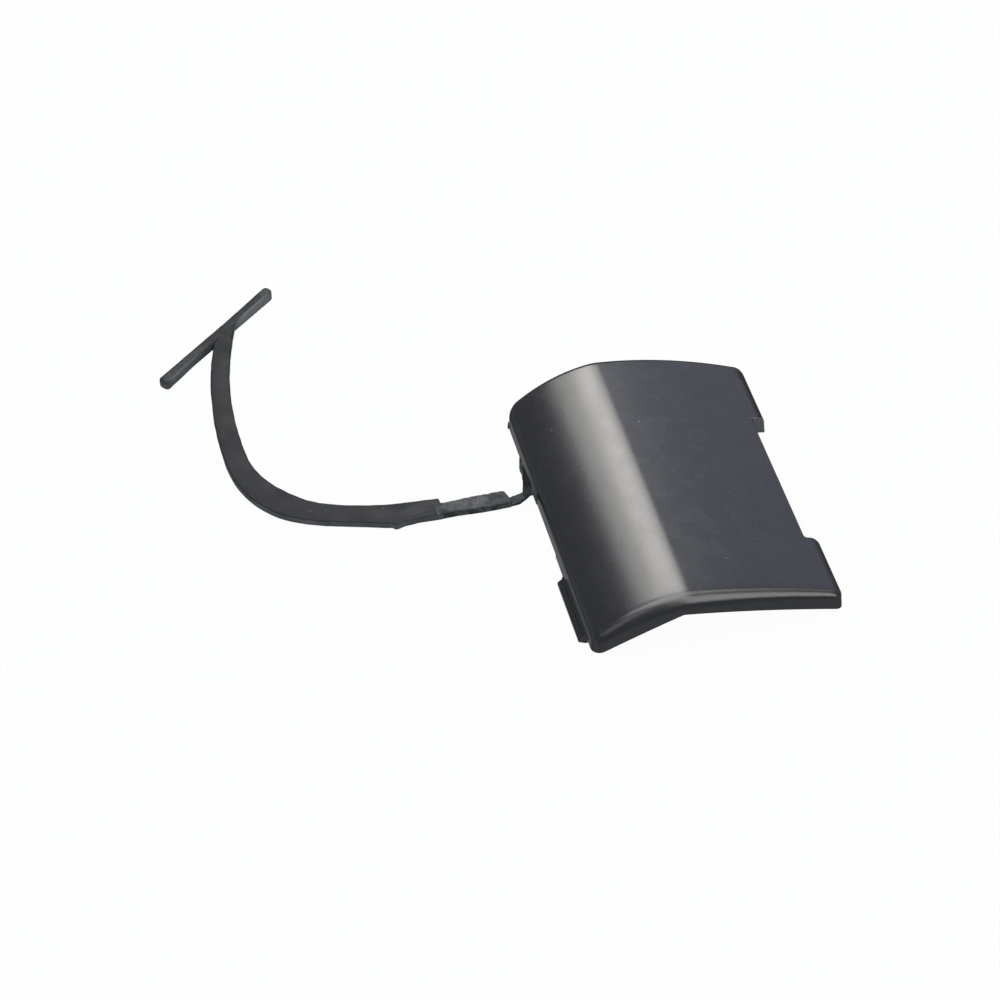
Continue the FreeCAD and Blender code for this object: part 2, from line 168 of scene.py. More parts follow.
def line_points(start, end, count):
    """Points strictly between two ends."""
    steps = [i / count for i in range(1, count)]
    return [(start[0] + (end[0] - start[0]) * t, start[1] + (end[1] - start[1]) * t) for t in steps]


class Bow:
    """One end of the plan outline. Both ends bulge backwards, so the front one bows in."""

    def __init__(self, x0, x1, middle_y, rise, side):
        half = 0.5 * (x1 - x0)
        self.side = side
        self.radius = (half ** 2 + rise ** 2) / (2.0 * rise)
        self.x = 0.5 * (x0 + x1)
        self.y = middle_y - self.radius

    def point(self, angle):
        return (self.x + self.radius * math.sin(angle), self.y + self.radius * math.cos(angle))

    def corner(self, wall_x, wall_side, radius):
        """Centre of the rounding between a wall and the bow, and where on the bow it ends."""
        reach = self.radius - self.side * radius
        x = wall_x - wall_side * radius
        angle = math.asin((x - self.x) / reach)
        return (x, self.y + reach * math.cos(angle)), angle

    def inside(self, point):
        return self.side * (self.radius - math.hypot(point[0] - self.x, point[1] - self.y))


class CoverShape:
    """The bent cover in millimetres, from the sizes in the sidebar."""

    def __init__(self, sizes):
        for name in TowCoverSizes.__annotations__:
            setattr(self, name, getattr(sizes, name) / MM)
        ridge = (0.0, self.ridge_top)
        self.left_join = arc_point(ridge, self.ridge_radius, 0.0, LEFT_START_SLOPE, -1)
        self.right_join = arc_point(ridge, self.ridge_radius, 0.0, RIGHT_START_SLOPE, 1)
        self.left_rim = self.plain_top(-self.left_width) - self.skirt_left
        self.ridge_rim = self.ridge_top - self.skirt_ridge
        self.right_rim = self.plain_top(self.right_width) - self.skirt_right
        self.notch_wall = self.right_width - self.notch_depth
        self.notch_back = 0.5 * self.notch_length - self.notch_offset
        self.notch_front = -0.5 * self.notch_length - self.notch_offset
        self.top_right = self.wall_x(self.section(self.right_width)[0])
        self.bows = {side: self.bow(side, 0.0) for side in (1, -1)}

    def wall_x(self, z):
        """The leaning right wall's place at a height."""
        return self.right_width + math.tan(RIGHT_WALL_DRAFT) * (RIGHT_WALL_LEVEL - z)

    def bow(self, side, inset):
        rise = self.back_bow if side > 0 else self.front_bow
        middle = side * (0.5 * self.mid_length - inset)
        return Bow(-self.left_width + inset, self.right_width - inset, middle, rise, side)

    def plain_top(self, x):
        """Height of the top without the rolled right edge."""
        if x > self.right_join[0]:
            slope = slope_after(self.right_radius, RIGHT_START_SLOPE, x - self.right_join[0])
            return arc_point(self.right_join, self.right_radius, RIGHT_START_SLOPE, slope, 1)[1]
        return self.section(x)[0]

    def section(self, x):
        """Height of the top and its slope, away from the ridge, at x."""
        if x < self.left_join[0]:
            slope = slope_after(self.left_radius, LEFT_START_SLOPE, self.left_join[0] - x)
            point = arc_point(self.left_join, self.left_radius, LEFT_START_SLOPE, slope, -1)
            return point[1], slope
        if x < self.right_join[0]:
            slope = math.asin(abs(x) / self.ridge_radius)
            return self.ridge_top - self.ridge_radius * (1.0 - math.cos(slope)), slope
        edge_x = self.right_width - self.edge_band
        slope = slope_after(self.right_radius, RIGHT_START_SLOPE, min(x, edge_x) - self.right_join[0])
        join = arc_point(self.right_join, self.right_radius, RIGHT_START_SLOPE, slope, 1)
        if x <= edge_x:
            return join[1], slope
        end = min(slope_after(self.edge_radius, slope, x - edge_x), EDGE_END_SLOPE)
        last = arc_point(join, self.edge_radius, slope, end, 1)
        return last[1] - (x - last[0]) * math.tan(end), end

    def ceiling(self, x):
        """Height of the panels' underside."""
        height, slope = self.section(min(x, self.right_width - self.edge_band))
        beyond = max(0.0, x - self.right_width + self.edge_band)
        return height - self.panel / math.cos(slope) - beyond * math.tan(slope)

    def rim(self, x):
        """Height of the skirt's lower rim."""
        if x < 0.0:
            return self.ridge_rim + (self.ridge_rim - self.left_rim) * x / self.left_width
        return self.ridge_rim - (self.ridge_rim - self.right_rim) * x / self.right_width

    def facing(self, point, way):
        """Slope of the top at a wall, in the wall's own outward direction."""
        slope = self.section(point[0])[1]
        lean = way[0] if point[0] > 0.0 else -way[0]
        return math.atan(math.tan(slope) * max(0.0, lean))

    def rounding(self, point, way, slope):
        """Radius of the top edge at a wall, kept small enough for the plan's corners."""
        side = self.left_round if way[0] < 0.0 else self.edge_round
        end = self.front_round if way[1] < 0.0 else self.edge_round
        radius = way[0] ** 2 * side + way[1] ** 2 * end
        if way[1]:
            wall_side = 1 if point[0] > 0.0 else -1
            wall = self.right_width if point[0] > 0.0 else self.left_width
            corner = CORNER_RADII[(wall_side, 1 if way[1] > 0.0 else -1)]
            beyond = max(0.0, wall - abs(point[0]) - corner)
            most = CORNER_SHARE * corner + CORNER_EASES[wall_side] * beyond
            radius = min(radius, most / (1.0 - math.sin(slope)))
        return radius

    def edge_drop(self, radius, slope, inside):
        """How far the rounded edge lies under the section, at a distance inside the wall."""
        if inside >= radius * (1.0 - math.sin(slope)):
            return 0.0
        chord = math.sqrt(radius ** 2 - (radius - inside) ** 2)
        return (inside - radius) * math.tan(slope) + radius / math.cos(slope) - chord

    def end_run(self, side, inset, right_x):
        """One end from its left corner to its right one, with outward directions."""
        bow = self.bow(side, inset)
        specks_and_highlights = []
        for wall_side, wall_x in ((-1, -self.left_width + inset), (1, right_x - inset)):
            radius = max(CORNER_RADII[(wall_side, side)] - inset, LEAST_CORNER)
            centre, angle = bow.corner(wall_x, wall_side, radius)
            specks_and_highlights.append((centre, radius, angle))
        (left, left_radius, left_angle), (right, right_radius, right_angle) = specks_and_highlights
        if side > 0:
            turns = (math.pi, QUARTER - left_angle, QUARTER - right_angle)
        else:
            turns = (-math.pi, -QUARTER - left_angle, -QUARTER - right_angle)
        run = arc_points(left, left_radius, turns[0], turns[1], CORNER_COUNT)
        for i in range(1, BOW_COUNT):
            angle = left_angle + (right_angle - left_angle) * i / BOW_COUNT
            run.append((bow.point(angle), (side * math.sin(angle), side * math.cos(angle))))
        return run + arc_points(right, right_radius, turns[2], 0.0, CORNER_COUNT)

    def outer_run(self, inset, right_x):
        """Outline without its notch, from the notch's front corner round to its back corner."""
        x = right_x - inset
        front = self.end_run(-1, inset, right_x)[::-1]
        back = self.end_run(1, inset, right_x)
        low = (x, min(self.front_side(inset, x, x), self.notch_front - inset - CRISP_EDGE))
        high = (x, self.notch_back + inset + CRISP_EDGE)
        run = [(low, (1.0, 0.0))]
        run += [(point, (1.0, 0.0)) for point in line_points(low, front[0][0], TAB_COUNT)]
        run += front
        run += [(point, (-1.0, 0.0)) for point in line_points(front[-1][0], back[0][0], WALL_COUNT)]
        run += back
        run += [(point, (1.0, 0.0)) for point in line_points(back[-1][0], high, TAB_COUNT)]
        return run + [(high, (1.0, 0.0))]

    def front_side(self, inset, edge, x):
        """Where the notch's front side lies at x, rounded off towards the front tab's own edge."""
        radius = max(0.0, NOTCH_TIP - inset)
        along = min(radius, max(0.0, radius - edge + x))
        return self.notch_front - inset - radius + math.sqrt(radius ** 2 - along ** 2)

    def notch_run(self, inset, side_xs, edge):
        """The notch from its back tab to its front tab. side_xs are the points along its sides."""
        back = self.notch_back + inset
        front = self.notch_front - inset
        wall = self.notch_wall - inset
        radius = NOTCH_CORNER + min(inset, CRISP_EDGE)
        inner = wall + radius
        back_turn = arc_points((inner, back - radius), radius, QUARTER, math.pi, TURN_COUNT)
        front_turn = arc_points((inner, front + radius), radius, math.pi, 3.0 * QUARTER, TURN_COUNT)
        points = [(x, back) for x in side_xs]
        points += line_points((side_xs[-1], back), (inner, back), SIDE_COUNT)
        points += [point for point, _ in back_turn]
        points += line_points((wall, back - radius), (wall, front + radius), NOTCH_COUNT)
        points += [point for point, _ in front_turn]
        xs = [x for x, _ in line_points((inner, front), (side_xs[-1], front), SIDE_COUNT)] + side_xs[::-1]
        return points + [(x, self.front_side(inset, edge, x)) for x in xs]

    def loop(self, inset, right_x):
        """Whole closed outline, clockwise, with the same number of points at every inset."""
        outer = [point for point, _ in self.outer_run(inset, right_x)]
        start = right_x - inset - CRISP_EDGE
        end = max(self.notch_wall - inset + NOTCH_CORNER + CRISP_EDGE, start - self.edge_round)
        reach = min(end, start - LEAST_SIDE) - start
        xs = [start + reach * i / ROUND_COUNT for i in range(ROUND_COUNT + 1)]
        return outer + self.notch_run(inset, xs, right_x - inset)


class MeshMaker:
    """Collects points and faces in millimetres."""

    def __init__(self):
        self.points = []
        self.faces = []

    def add(self, points):
        start = len(self.points)
        self.points += points
        return list(range(start, start + len(points)))

    def strip(self, low, high, closed=True):
        """Quads between two rows of points of the same length."""
        count = len(low)
        for i in range(count if closed else count - 1):
            j = (i + 1) % count
            self.faces.append((low[i], low[j], high[j], high[i]))

    def fill(self, boundary, inner, height, flip):
        """Triangles over a closed boundary of points in place, with loose points inside it."""
        flat = [Vector(self.points[i][:2]) for i in boundary] + [Vector(p) for p in inner]
        count = len(boundary)
        edges = [(i, (i + 1) % count) for i in range(count)]
        _, _, faces, origins, _, _ = delaunay_2d_cdt(flat, edges, [], 1, 1e-6)
        names = boundary + self.add([(x, y, height(x)) for x, y in inner])
        lookup = [names[origin[0]] for origin in origins]
        for face in faces:
            corners = [lookup[i] for i in face]
            self.faces.append(tuple(corners[::-1] if flip else corners))


def put_mesh(maker, name, shape, material):
    """Makes an object in the frame from collected points, and rides it on the body."""
    move = ridge_move(shape)
    mesh = bpy.data.meshes.new(name)
    mesh.from_pydata([Vector(p) * MM + move for p in maker.points], [], maker.faces)
    work = bmesh.new()
    work.from_mesh(mesh)
    bmesh.ops.remove_doubles(work, verts=work.verts, dist=MERGE_DISTANCE)
    bmesh.ops.recalc_face_normals(work, faces=work.faces)
    work.to_mesh(mesh)
    loose = sum(not edge.is_manifold for edge in work.edges)
    work.free()
    if loose:
        raise RuntimeError("%s has %d open edges" % (name, loose))
    mesh.validate()
    mesh.shade_smooth()
    mesh.set_sharp_from_angle(angle=SMOOTH_ANGLE)
    mesh.materials.append(material)
    piece = bpy.data.objects.new(name, mesh)
    bpy.context.scene.collection.objects.link(piece)
    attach(piece, BODY)
    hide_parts(NODE)


def wall_rows(maker, shape, top_row):
    """Outer walls, rim and inner walls under a row of points. Returns the ceiling's row."""
    low_x = shape.wall_x(shape.right_rim)
    inner_x = shape.wall_x(shape.ceiling(shape.right_width - shape.wall))
    top = [maker.points[i] for i in top_row]
    foot = [(x, y, shape.rim(x) + CRISP_EDGE) for x, y in shape.loop(0.0, low_x)]
    rows = []
    for step in range(1, WALL_ROWS + 1):
        t = step / WALL_ROWS
        rows.append([tuple(a + (b - a) * t for a, b in zip(p, q)) for p, q in zip(top, foot)])
    soft = INSIDE_SOFT * INSIDE_ROUND
    levels = (
        (CRISP_EDGE, low_x, shape.rim, 0.0),
        (shape.wall - CRISP_EDGE, low_x, shape.rim, 0.0),
        (shape.wall, low_x, shape.rim, CRISP_EDGE),
        (shape.wall, inner_x, shape.ceiling, -INSIDE_ROUND),
        (shape.wall + soft, inner_x, shape.ceiling, -soft),
        (shape.wall + INSIDE_ROUND, inner_x, shape.ceiling, 0.0),
    )
    for inset, right_x, height, lift in levels:
        rows.append([(x, y, height(x) + lift) for x, y in shape.loop(inset, right_x)])
    row = top_row
    for points in rows:
        below = maker.add(points)
        maker.strip(row, below)
        row = below
    return row


# Loose points inside the panels: the finer zones' places and reaches, the steps across, and how far the
# points keep from the two corners' walls, from the ends there and from the notch
RIDGE_ZONE = (1.0, 4.0)
EDGE_ZONE = 1.5
FINE_STEP = 0.4
COARSE_STEP = 0.9
CORNER_CLEAR = (3.3, 2.8)
END_CLEAR = 3.3
NOTCH_CLEAR = 0.7


def grid_points(shape, sides, ends, step):
    """Points inside the outline's margins, closer together across the ridge and the right edge."""
    found = []
    x = -shape.left_width + sides[0]
    while x < shape.right_width - sides[1]:
        near_edge = x > shape.right_width - shape.edge_band - EDGE_ZONE
        fine = abs(x - RIDGE_ZONE[0]) < RIDGE_ZONE[1] or near_edge
        corner = x + shape.left_width < CORNER_CLEAR[0] or shape.right_width - x < CORNER_CLEAR[1]
        y = -0.5 * shape.mid_length - shape.front_bow
        while y < 0.5 * shape.mid_length:
            depths = {side: bow.inside((x, y)) for side, bow in shape.bows.items()}
            clear = all(depth > ends[side] for side, depth in depths.items())
            near_end = min(depths.values()) < END_CLEAR
            beside = shape.notch_front - NOTCH_CLEAR < y < shape.notch_back + NOTCH_CLEAR
            in_notch = beside and x > shape.notch_wall - NOTCH_CLEAR
            if clear and not (corner and near_end) and not in_notch:
                found.append((x, y))
            y += step
        x += FINE_STEP if fine else COARSE_STEP
    return found


def edge_rows(maker, shape, run, facings, radii):
    """Rows of the rounded top edge, from the wall inwards."""
    rows = []
    for step in range(ROUND_COUNT + 1):
        points = []
        for (point, way), slope, radius in zip(run, facings, radii):
            outward = QUARTER - (QUARTER - slope) * step / ROUND_COUNT
            inside = radius * (1.0 - math.sin(outward))
            x = point[0] - way[0] * inside
            y = point[1] - way[1] * inside
            points.append((x, y, shape.section(x)[0] - shape.edge_drop(radius, slope, inside)))
        x, _, z = points[0]
        points[0] = (x, shape.front_side(CRISP_EDGE, shape.top_right, x), z)
        rows.append(maker.add(points))
    for low, high in zip(rows, rows[1:]):
        maker.strip(low, high, closed=False)
    return rows


def notch_rows(maker, shape, rows, slope, radius):
    """The notch's own upper edge and the crisp lip under it, joined to the rounded edge's rows."""
    right_x = shape.top_right
    side_xs = [maker.points[row[0]][0] for row in rows]

    def side_height(x):
        return shape.section(x)[0] - shape.edge_drop(radius, slope, max(0.0, right_x - x))

    crest = [(x, y, side_height(x)) for x, y in shape.notch_run(CRISP_EDGE, side_xs, right_x)]
    own = maker.add(crest[ROUND_COUNT + 1:-(ROUND_COUNT + 1)])
    crest_row = [row[-1] for row in rows] + own + [row[0] for row in rows][::-1]
    xs = [min(x, right_x - CRISP_EDGE * (0.5 + 0.5 * i / ROUND_COUNT)) for i, x in enumerate(side_xs)]
    xs[-1] = side_xs[-1]
    lip = [(x, y, side_height(x) - CRISP_EDGE) for x, y in shape.notch_run(0.0, xs, right_x)]
    lip_row = maker.add(lip)
    maker.strip(crest_row, lip_row, closed=False)
    return own, lip_row


# Loose points on top: margins at the left and right, margin past the ends' rounding, and their step.
# Then the same for the hollow's ceiling, past its inside corner, and how far they keep from the walls
TOP_MARGINS = (2.3, 0.9)
END_MARGIN = 0.6
TOP_STEP = 1.5
HOLLOW_MARGIN = 0.8
HOLLOW_STEP = 2.5
HOLLOW_CLEAR = 0.5


def cover_mesh(shape):
    """The bent shell: rounded top, skirt, notch, rim and hollow."""
    maker = MeshMaker()
    run = shape.outer_run(0.0, shape.top_right)
    facings = [shape.facing(point, way) for point, way in run]
    radii = [shape.rounding(point, way, slope) for (point, way), slope in zip(run, facings)]
    rows = edge_rows(maker, shape, run, facings, radii)
    own, lip_row = notch_rows(maker, shape, rows, facings[0], radii[0])
    ends = {1: shape.edge_round + END_MARGIN, -1: shape.front_round + END_MARGIN}
    inner = grid_points(shape, TOP_MARGINS, ends, TOP_STEP)
    maker.fill(rows[-1] + own, inner, lambda x: shape.section(x)[0], False)
    ceiling_row = wall_rows(maker, shape, rows[0] + lip_row)
    margin = shape.wall + INSIDE_ROUND + HOLLOW_MARGIN
    reach = shape.wall + INSIDE_ROUND + HOLLOW_CLEAR
    hollow = [
        (x, y) for x, y in grid_points(shape, (margin, margin), {1: margin, -1: margin}, HOLLOW_STEP)
        if x < shape.notch_wall - reach
        or (x < shape.right_width - reach and not shape.notch_front - reach < y < shape.notch_back + reach)
    ]
    maker.fill(ceiling_row, hollow, shape.ceiling, True)
    return maker


ARC_STEPS = 3
MOST_ROUND = 0.45


def ring(station, rounding, shrink):
    """Rounded rectangle between two plan points and two heights, made smaller by shrink."""
    left, right, bottom, top = station
    width = math.dist(left, right)
    side = ((right[0] - left[0]) / width, (right[1] - left[1]) / width)
    low, high = shrink, width - shrink
    floor, roof = bottom + shrink, top - shrink
    radius = min(rounding, MOST_ROUND * (high - low), MOST_ROUND * (roof - floor))
    corners = (
        (high - radius, roof - radius, 0.0),
        (low + radius, roof - radius, QUARTER),
        (low + radius, floor + radius, math.pi),
        (high - radius, floor + radius, 3.0 * QUARTER),
    )
    points = []
    for across, height, turn in corners:
        for step in range(ARC_STEPS + 1):
            angle = turn + QUARTER * step / ARC_STEPS
            s = across + radius * math.cos(angle)
            points.append((left[0] + side[0] * s, left[1] + side[1] * s, height + radius * math.sin(angle)))
    return points


def sweep(maker, stations, rounding, start_round=0.0):
    """Closed bar of rounded section through stations, with its first end rounded off."""
    rings = [ring(stations[0], rounding, start_round)]
    rings += [ring(station, rounding, 0.0) for station in stations[1:]]
    rows = [maker.add(points) for points in rings]
    for low, high in zip(rows, rows[1:]):
        maker.strip(low, high)
    maker.faces += [tuple(rows[0][::-1]), tuple(rows[-1])]


THIN_BEVEL = 0.08
BEVEL_STEPS = 2


def add_block(maker, outline, start, end, place, bevel=THIN_BEVEL):
    """Prism on an outline with all its edges bevelled. place turns (u, v, depth) into a point."""
    work = bmesh.new()
    low = [work.verts.new(place(u, v, start)) for u, v in outline]
    high = [work.verts.new(place(u, v, end)) for u, v in outline]
    work.faces.new(low[::-1])
    work.faces.new(high)
    for i in range(len(outline)):
        j = (i + 1) % len(outline)
        work.faces.new((low[i], low[j], high[j], high[i]))
    bmesh.ops.bevel(
        work, geom=list(work.edges), offset=bevel, segments=BEVEL_STEPS, profile=0.5,
        affect="EDGES", clamp_overlap=True)
    work.verts.index_update()
    first = maker.add([tuple(vert.co) for vert in work.verts])[0]
    maker.faces += [tuple(first + vert.index for vert in face.verts) for face in work.faces]
    work.free()


def along_cover(x, z, y):
    """Places a section that stands across the cover."""
    return (x, y, z)


RIB_PLACES = (-20.0, 0.0, 20.0)
RIB_THICKNESS = 1.2
RIB_DEPTH = 1.8
RIB_STEP = 1.5


def ribs_mesh(shape):
    """Shallow ribs that follow the underside of both panels."""
    maker = MeshMaker()
    side = 0.5 * RIB_THICKNESS
    for y in RIB_PLACES:
        in_notch = shape.notch_front < y < shape.notch_back
        end = (shape.notch_wall if in_notch else shape.right_width) - 0.5 * shape.wall
        start = -shape.left_width + 0.5 * shape.wall
        count = int((end - start) / RIB_STEP)
        stations = []
        for i in range(count + 1):
            x = start + (end - start) * i / count
            top = shape.ceiling(x)
            stations.append(((x, y - side), (x, y + side), top - RIB_DEPTH, top + 0.5 * shape.panel))
        sweep(maker, stations, CRISP_EDGE)
    return maker


LEG_LENGTH = 17.0
LEG_MIDDLE = -22.5
LEG_THICKNESS = 2.1
LEG_ROOT = 2.4
LEG_BARB = 1.2
LEG_FOOT = 0.9
LEG_TOE = 0.4
# Stepped outside of the leg and section of the lip beside it: inwards from the left wall, up from the rim
LEG_OUTSIDE = ((0.3, LEG_ROOT), (0.3, 0.0), (0.25, -0.5), (-0.2, -0.8), (-0.2, -1.6), (-LEG_BARB, -2.2))
LIP_SECTION = ((0.02, -0.8), (0.8, -0.8), (0.8, 0.8), (0.02, 0.8))
LIP_LENGTH = 6.0
LIP_LAP = 1.0


def clip_leg_mesh(shape):
    """Clip leg under the left wall, with its outward barb and its foot on the floor."""
    wall = -shape.left_width
    rim = shape.left_rim
    inner = wall + LEG_THICKNESS
    section = [(inner, rim + LEG_ROOT)] + [(wall + x, rim + z) for x, z in LEG_OUTSIDE]
    section += [(wall - LEG_BARB, LEG_FOOT), (wall + LEG_TOE, 0.0), (inner, 0.0)]
    half = 0.5 * LEG_LENGTH
    back = LEG_MIDDLE + half
    maker = MeshMaker()
    add_block(maker, section, LEG_MIDDLE - half, back, along_cover)
    lip = [(wall + x, rim + z) for x, z in LIP_SECTION]
    add_block(maker, lip, back - LIP_LAP, back + LIP_LENGTH, along_cover)
    return maker


HOOK_LENGTH = 8.5
HOOK_THICKNESS = 2.0
HOOK_SETBACK = 1.5
HOOK_BURIED = 1.5
HOOK_TOE = 0.4
HOOK_BEVEL = 0.15
# Outside of a hook, with its barb: outwards from its face, and up from the floor
HOOK_OUTSIDE = ((-HOOK_TOE, 0.0), (0.7, 1.0), (0.7, 2.6), (0.0, 3.6))


def hooks_mesh(shape):
    """Hook legs under the two tabs of the right edge."""
    outer = shape.right_width - HOOK_SETBACK
    inner = outer - HOOK_THICKNESS
    top = shape.plain_top(inner) - HOOK_BURIED
    section = [(inner, top), (inner, HOOK_TOE), (inner + HOOK_TOE, 0.0)]
    section += [(outer + x, z) for x, z in HOOK_OUTSIDE] + [(outer, top)]
    front_end = -0.5 * shape.mid_length - shape.front_bow
    back_end = 0.5 * shape.mid_length - shape.back_bow
    half = 0.5 * HOOK_LENGTH
    maker = MeshMaker()
    for middle in (0.5 * (front_end + shape.notch_front), 0.5 * (shape.notch_back + back_end)):
        add_block(maker, section, middle - half, middle + half, along_cover, HOOK_BEVEL)
    return maker


# Root web: points as inwards from the left wall, and back from the tab's line. The outer ones are torn
ROOT_OUTLINE = (
    (0.6, 9.4), (-0.1, 8.5), (-0.25, 7.4), (0.0, 6.2), (-0.3, 4.5), (-0.8, 2.3), (-1.35, 0.75),
    (-0.7, -0.35), (1.3, -0.35), (1.3, 9.15),
)
TORN_REACH = 0.9
ROOT_BOTTOM = 0.5
ROOT_RISE = 0.7
ROOT_SLOPE = 1.7
ROOT_SLOPE_START = 0.2
ROOT_STEP = 0.7
# Dark sheet in front of the web, standing in for painted shade on the left wall's bright rim: behind the
# tab's line, and up from the rim
SHADE_SHEET_ENDS = (-6.3, -2.2)
SHADE_SHEET_SECTION = ((-0.12, -0.1), (0.7, -0.1), (0.7, 4.6), (0.15, 4.2), (-0.12, 3.2))
SHADE_SHEET_BEVEL = 0.1
# Flash on the back corner's rim: points of the corner's rounding, how far it stands out and up, and edge
FLASH_POINTS = (2, 6)
FLASH_OUT = 0.35
FLASH_HEIGHTS = (-0.1, 0.9)
FLASH_ROUND = 0.1


def root_mesh(shape):
    """Torn web that slopes down from the left wall and carries the tether."""
    wall = -shape.left_width
    line = tether_shape(shape).line
    outline = []
    for (in0, back0), (in1, back1) in zip(ROOT_OUTLINE, ROOT_OUTLINE[1:] + ROOT_OUTLINE[:1]):
        count = max(1, int(math.dist((in0, back0), (in1, back1)) / ROOT_STEP))
        for i in range(count):
            inwards = in0 + (in1 - in0) * i / count
            back = back0 + (back1 - back0) * i / count
            torn = wander(back, "web_edge") if inwards < TORN_REACH else 0.0
            outline.append((wall + inwards + torn, line + back))

    def sloping(x, y, z):
        drop = ROOT_SLOPE * max(0.0, wall + ROOT_SLOPE_START - x)
        return (x, y, z - drop if z > ROOT_BOTTOM else z)

    maker = MeshMaker()
    add_block(maker, outline, ROOT_BOTTOM, shape.left_rim + ROOT_RISE, sloping)
    # A dark, rough sheet on the wall's face: painted shade where the wall's bright rim darkens in front of
    # the web.
    shade_sheet = [(wall + x, shape.left_rim + z) for x, z in SHADE_SHEET_SECTION]
    add_block(maker, shade_sheet, line + SHADE_SHEET_ENDS[0], line + SHADE_SHEET_ENDS[1], along_cover, SHADE_SHEET_BEVEL)
    stations = []
    for (x, y), way in shape.end_run(1, 0.0, shape.top_right)[FLASH_POINTS[0]:FLASH_POINTS[1]]:
        outer = (x + FLASH_OUT * way[0], y + FLASH_OUT * way[1])
        inner = (x - way[0], y - way[1])
        bottom, top = (shape.rim(x) + height for height in FLASH_HEIGHTS)
        stations.append((outer, inner, bottom, top))
    sweep(maker, stations, FLASH_ROUND)
    return maker


STRAP_ARCS = ((72.5, 27.5), (24.4, 27.1), (98.5, 43.6))
STRAP_LAP = 1.5
STRAP_SIDESTEP = 0.1
STRAP_SAMPLE = 0.35
# Strap's widths: where the bend is widest, and what its two ends add to or take off the tab end's width
STRAP_WIDEST = 9.9
BEND_START_MORE = 0.15
BEND_END_LESS = 0.05
# Strap's section: edge rounding, first end's rounding, gap under it, and how much lower its top and cut are
EDGE_ROUND = 0.32
STRAP_START_ROUND = 0.2
STRAP_GAP = 0.02
STRAP_LOWER = 0.08
CUT_LOWER = 0.06
# Strap's far end, back from the cross-bar: where it starts to rise, and where the cut starts
RAISED_END = 7.0
CUT_REACH = 2.5
# Outer edge's swelling and its tooth: place, reach towards the bar, reach towards the tab, and height
SWELLING = (10.3, 8.5, 4.6, 0.85)
TOOTH = (11.0, 0.35, 2.3, 0.55)
# How much farther out the strap's edges lie, and the stretch over which the inner one starts
OUTER_EASE = 0.2
INNER_EASE = 0.26
INNER_START = 4.0
BAR_ANGLE = math.radians(37.7)
BAR_SLIDE = 3.3
BAR_HEIGHT = 2.4
BAR_ROUND = 1.0
BAR_EDGE = 0.45
BAR_SHORTER = 0.2
BAR_COUNT = 60
BAR_END_COUNT = 5
BAR_END_LIFT = 0.45
# Cross-bar's wider left end and higher right end: where each starts from its middle, and how much
BAR_FLARE = (10.0, 0.45)
BAR_HIGHER = (4.0, 0.5)
# Unevenness of each edge: its own row of the noise, the length of its waves and their height
WANDERS = {
    "strap_outer": (1, 2.2, 0.08),
    "strap_inner": (2, 1.6, 0.08),
    "strap_top": (3, 3.0, 0.05),
    "link_front": (4, 0.8, 0.10),
    "link_back": (5, 0.7, 0.14),
    "link_top": (6, 0.7, 0.12),
    "tab_front": (7, 2.5, 0.06),
    "tab_back": (8, 0.8, 0.28),
    "tab_top": (9, 1.1, 0.08),
    "bar_front": (10, 2.4, 0.04),
    "bar_back": (11, 2.0, 0.04),
    "bar_top": (12, 3.0, 0.03),
    "web_edge": (13, 0.9, 0.22),
}
ROW_GAP = 7.3
NOISE_LEVEL = 0.5


class TetherShape:
    """The tether's centreline and widths in millimetres."""

    def __init__(self, sizes, cover):
        for name in TowTetherSizes.__annotations__:
            setattr(self, name, getattr(sizes, name) / MM)
        self.near = -cover.left_width - self.gap
        self.far = self.near - self.tab_length
        self.total = sum(arc_length for _, arc_length in STRAP_ARCS)

    def width(self, distance):
        """Width of the strap at a distance along it."""
        bend = STRAP_ARCS[0][1]
        bend_end = bend + STRAP_ARCS[1][1]
        marks_and_highlights = (
            (0.0, self.strap_width),
            (bend, self.strap_width + BEND_START_MORE),
            (bend + STRAP_WIDEST, self.bend_width),
            (bend_end, self.strap_width - BEND_END_LESS),
            (self.total, self.end_width),
        )
        slopes = [(w1 - w0) / (s1 - s0) for (s0, w0), (s1, w1) in zip(marks_and_highlights, marks_and_highlights[1:])]
        tangents = [0.0] + [0.5 * (a + b) for a, b in zip(slopes, slopes[1:])] + [slopes[-1]]
        for i, ((s0, w0), (s1, w1)) in enumerate(zip(marks_and_highlights, marks_and_highlights[1:])):
            if distance <= s1:
                span = s1 - s0
                t = (distance - s0) / span
                lean = tangents[i] * (1.0 - t) - tangents[i + 1] * t
                return w0 + (w1 - w0) * t * t * (3.0 - 2.0 * t) + span * t * (1.0 - t) * lean
        return self.end_width

    def centreline(self):
        """Points along the strap: x, y, heading and distance."""
        x = self.far + STRAP_LAP
        y = self.line - 0.5 * self.tab_width + STRAP_SIDESTEP + 0.5 * self.strap_width
        heading = math.pi
        done = 0.0
        found = [(x, y, heading, done)]
        for radius, arc_length in STRAP_ARCS:
            count = int(math.ceil(arc_length / STRAP_SAMPLE))
            step = arc_length / count
            chord = 2.0 * radius * math.sin(0.5 * step / radius)
            for _ in range(count):
                middle = heading - 0.5 * step / radius
                x += chord * math.cos(middle)
                y += chord * math.sin(middle)
                heading -= step / radius
                done += step
                found.append((x, y, heading, done))
        return found


def wander(distance, edge):
    """Small smooth unevenness along an edge, the same on each run."""
    row, scale, amount = WANDERS[edge]
    return amount * noise.noise(Vector((distance / scale, ROW_GAP * row, NOISE_LEVEL)))


def bump(place, mark):
    """A straight-sided bump with its own reach on each side of its middle."""
    middle, beyond, before, height = mark
    reach = beyond if place > middle else before
    return height * max(0.0, 1.0 - abs(place - middle) / reach)


def beyond_start(place, end, growth):
    """Grows evenly from a start to an end."""
    start, amount = growth
    return amount * min(1.0, max(0.0, place - start) / (end - start))


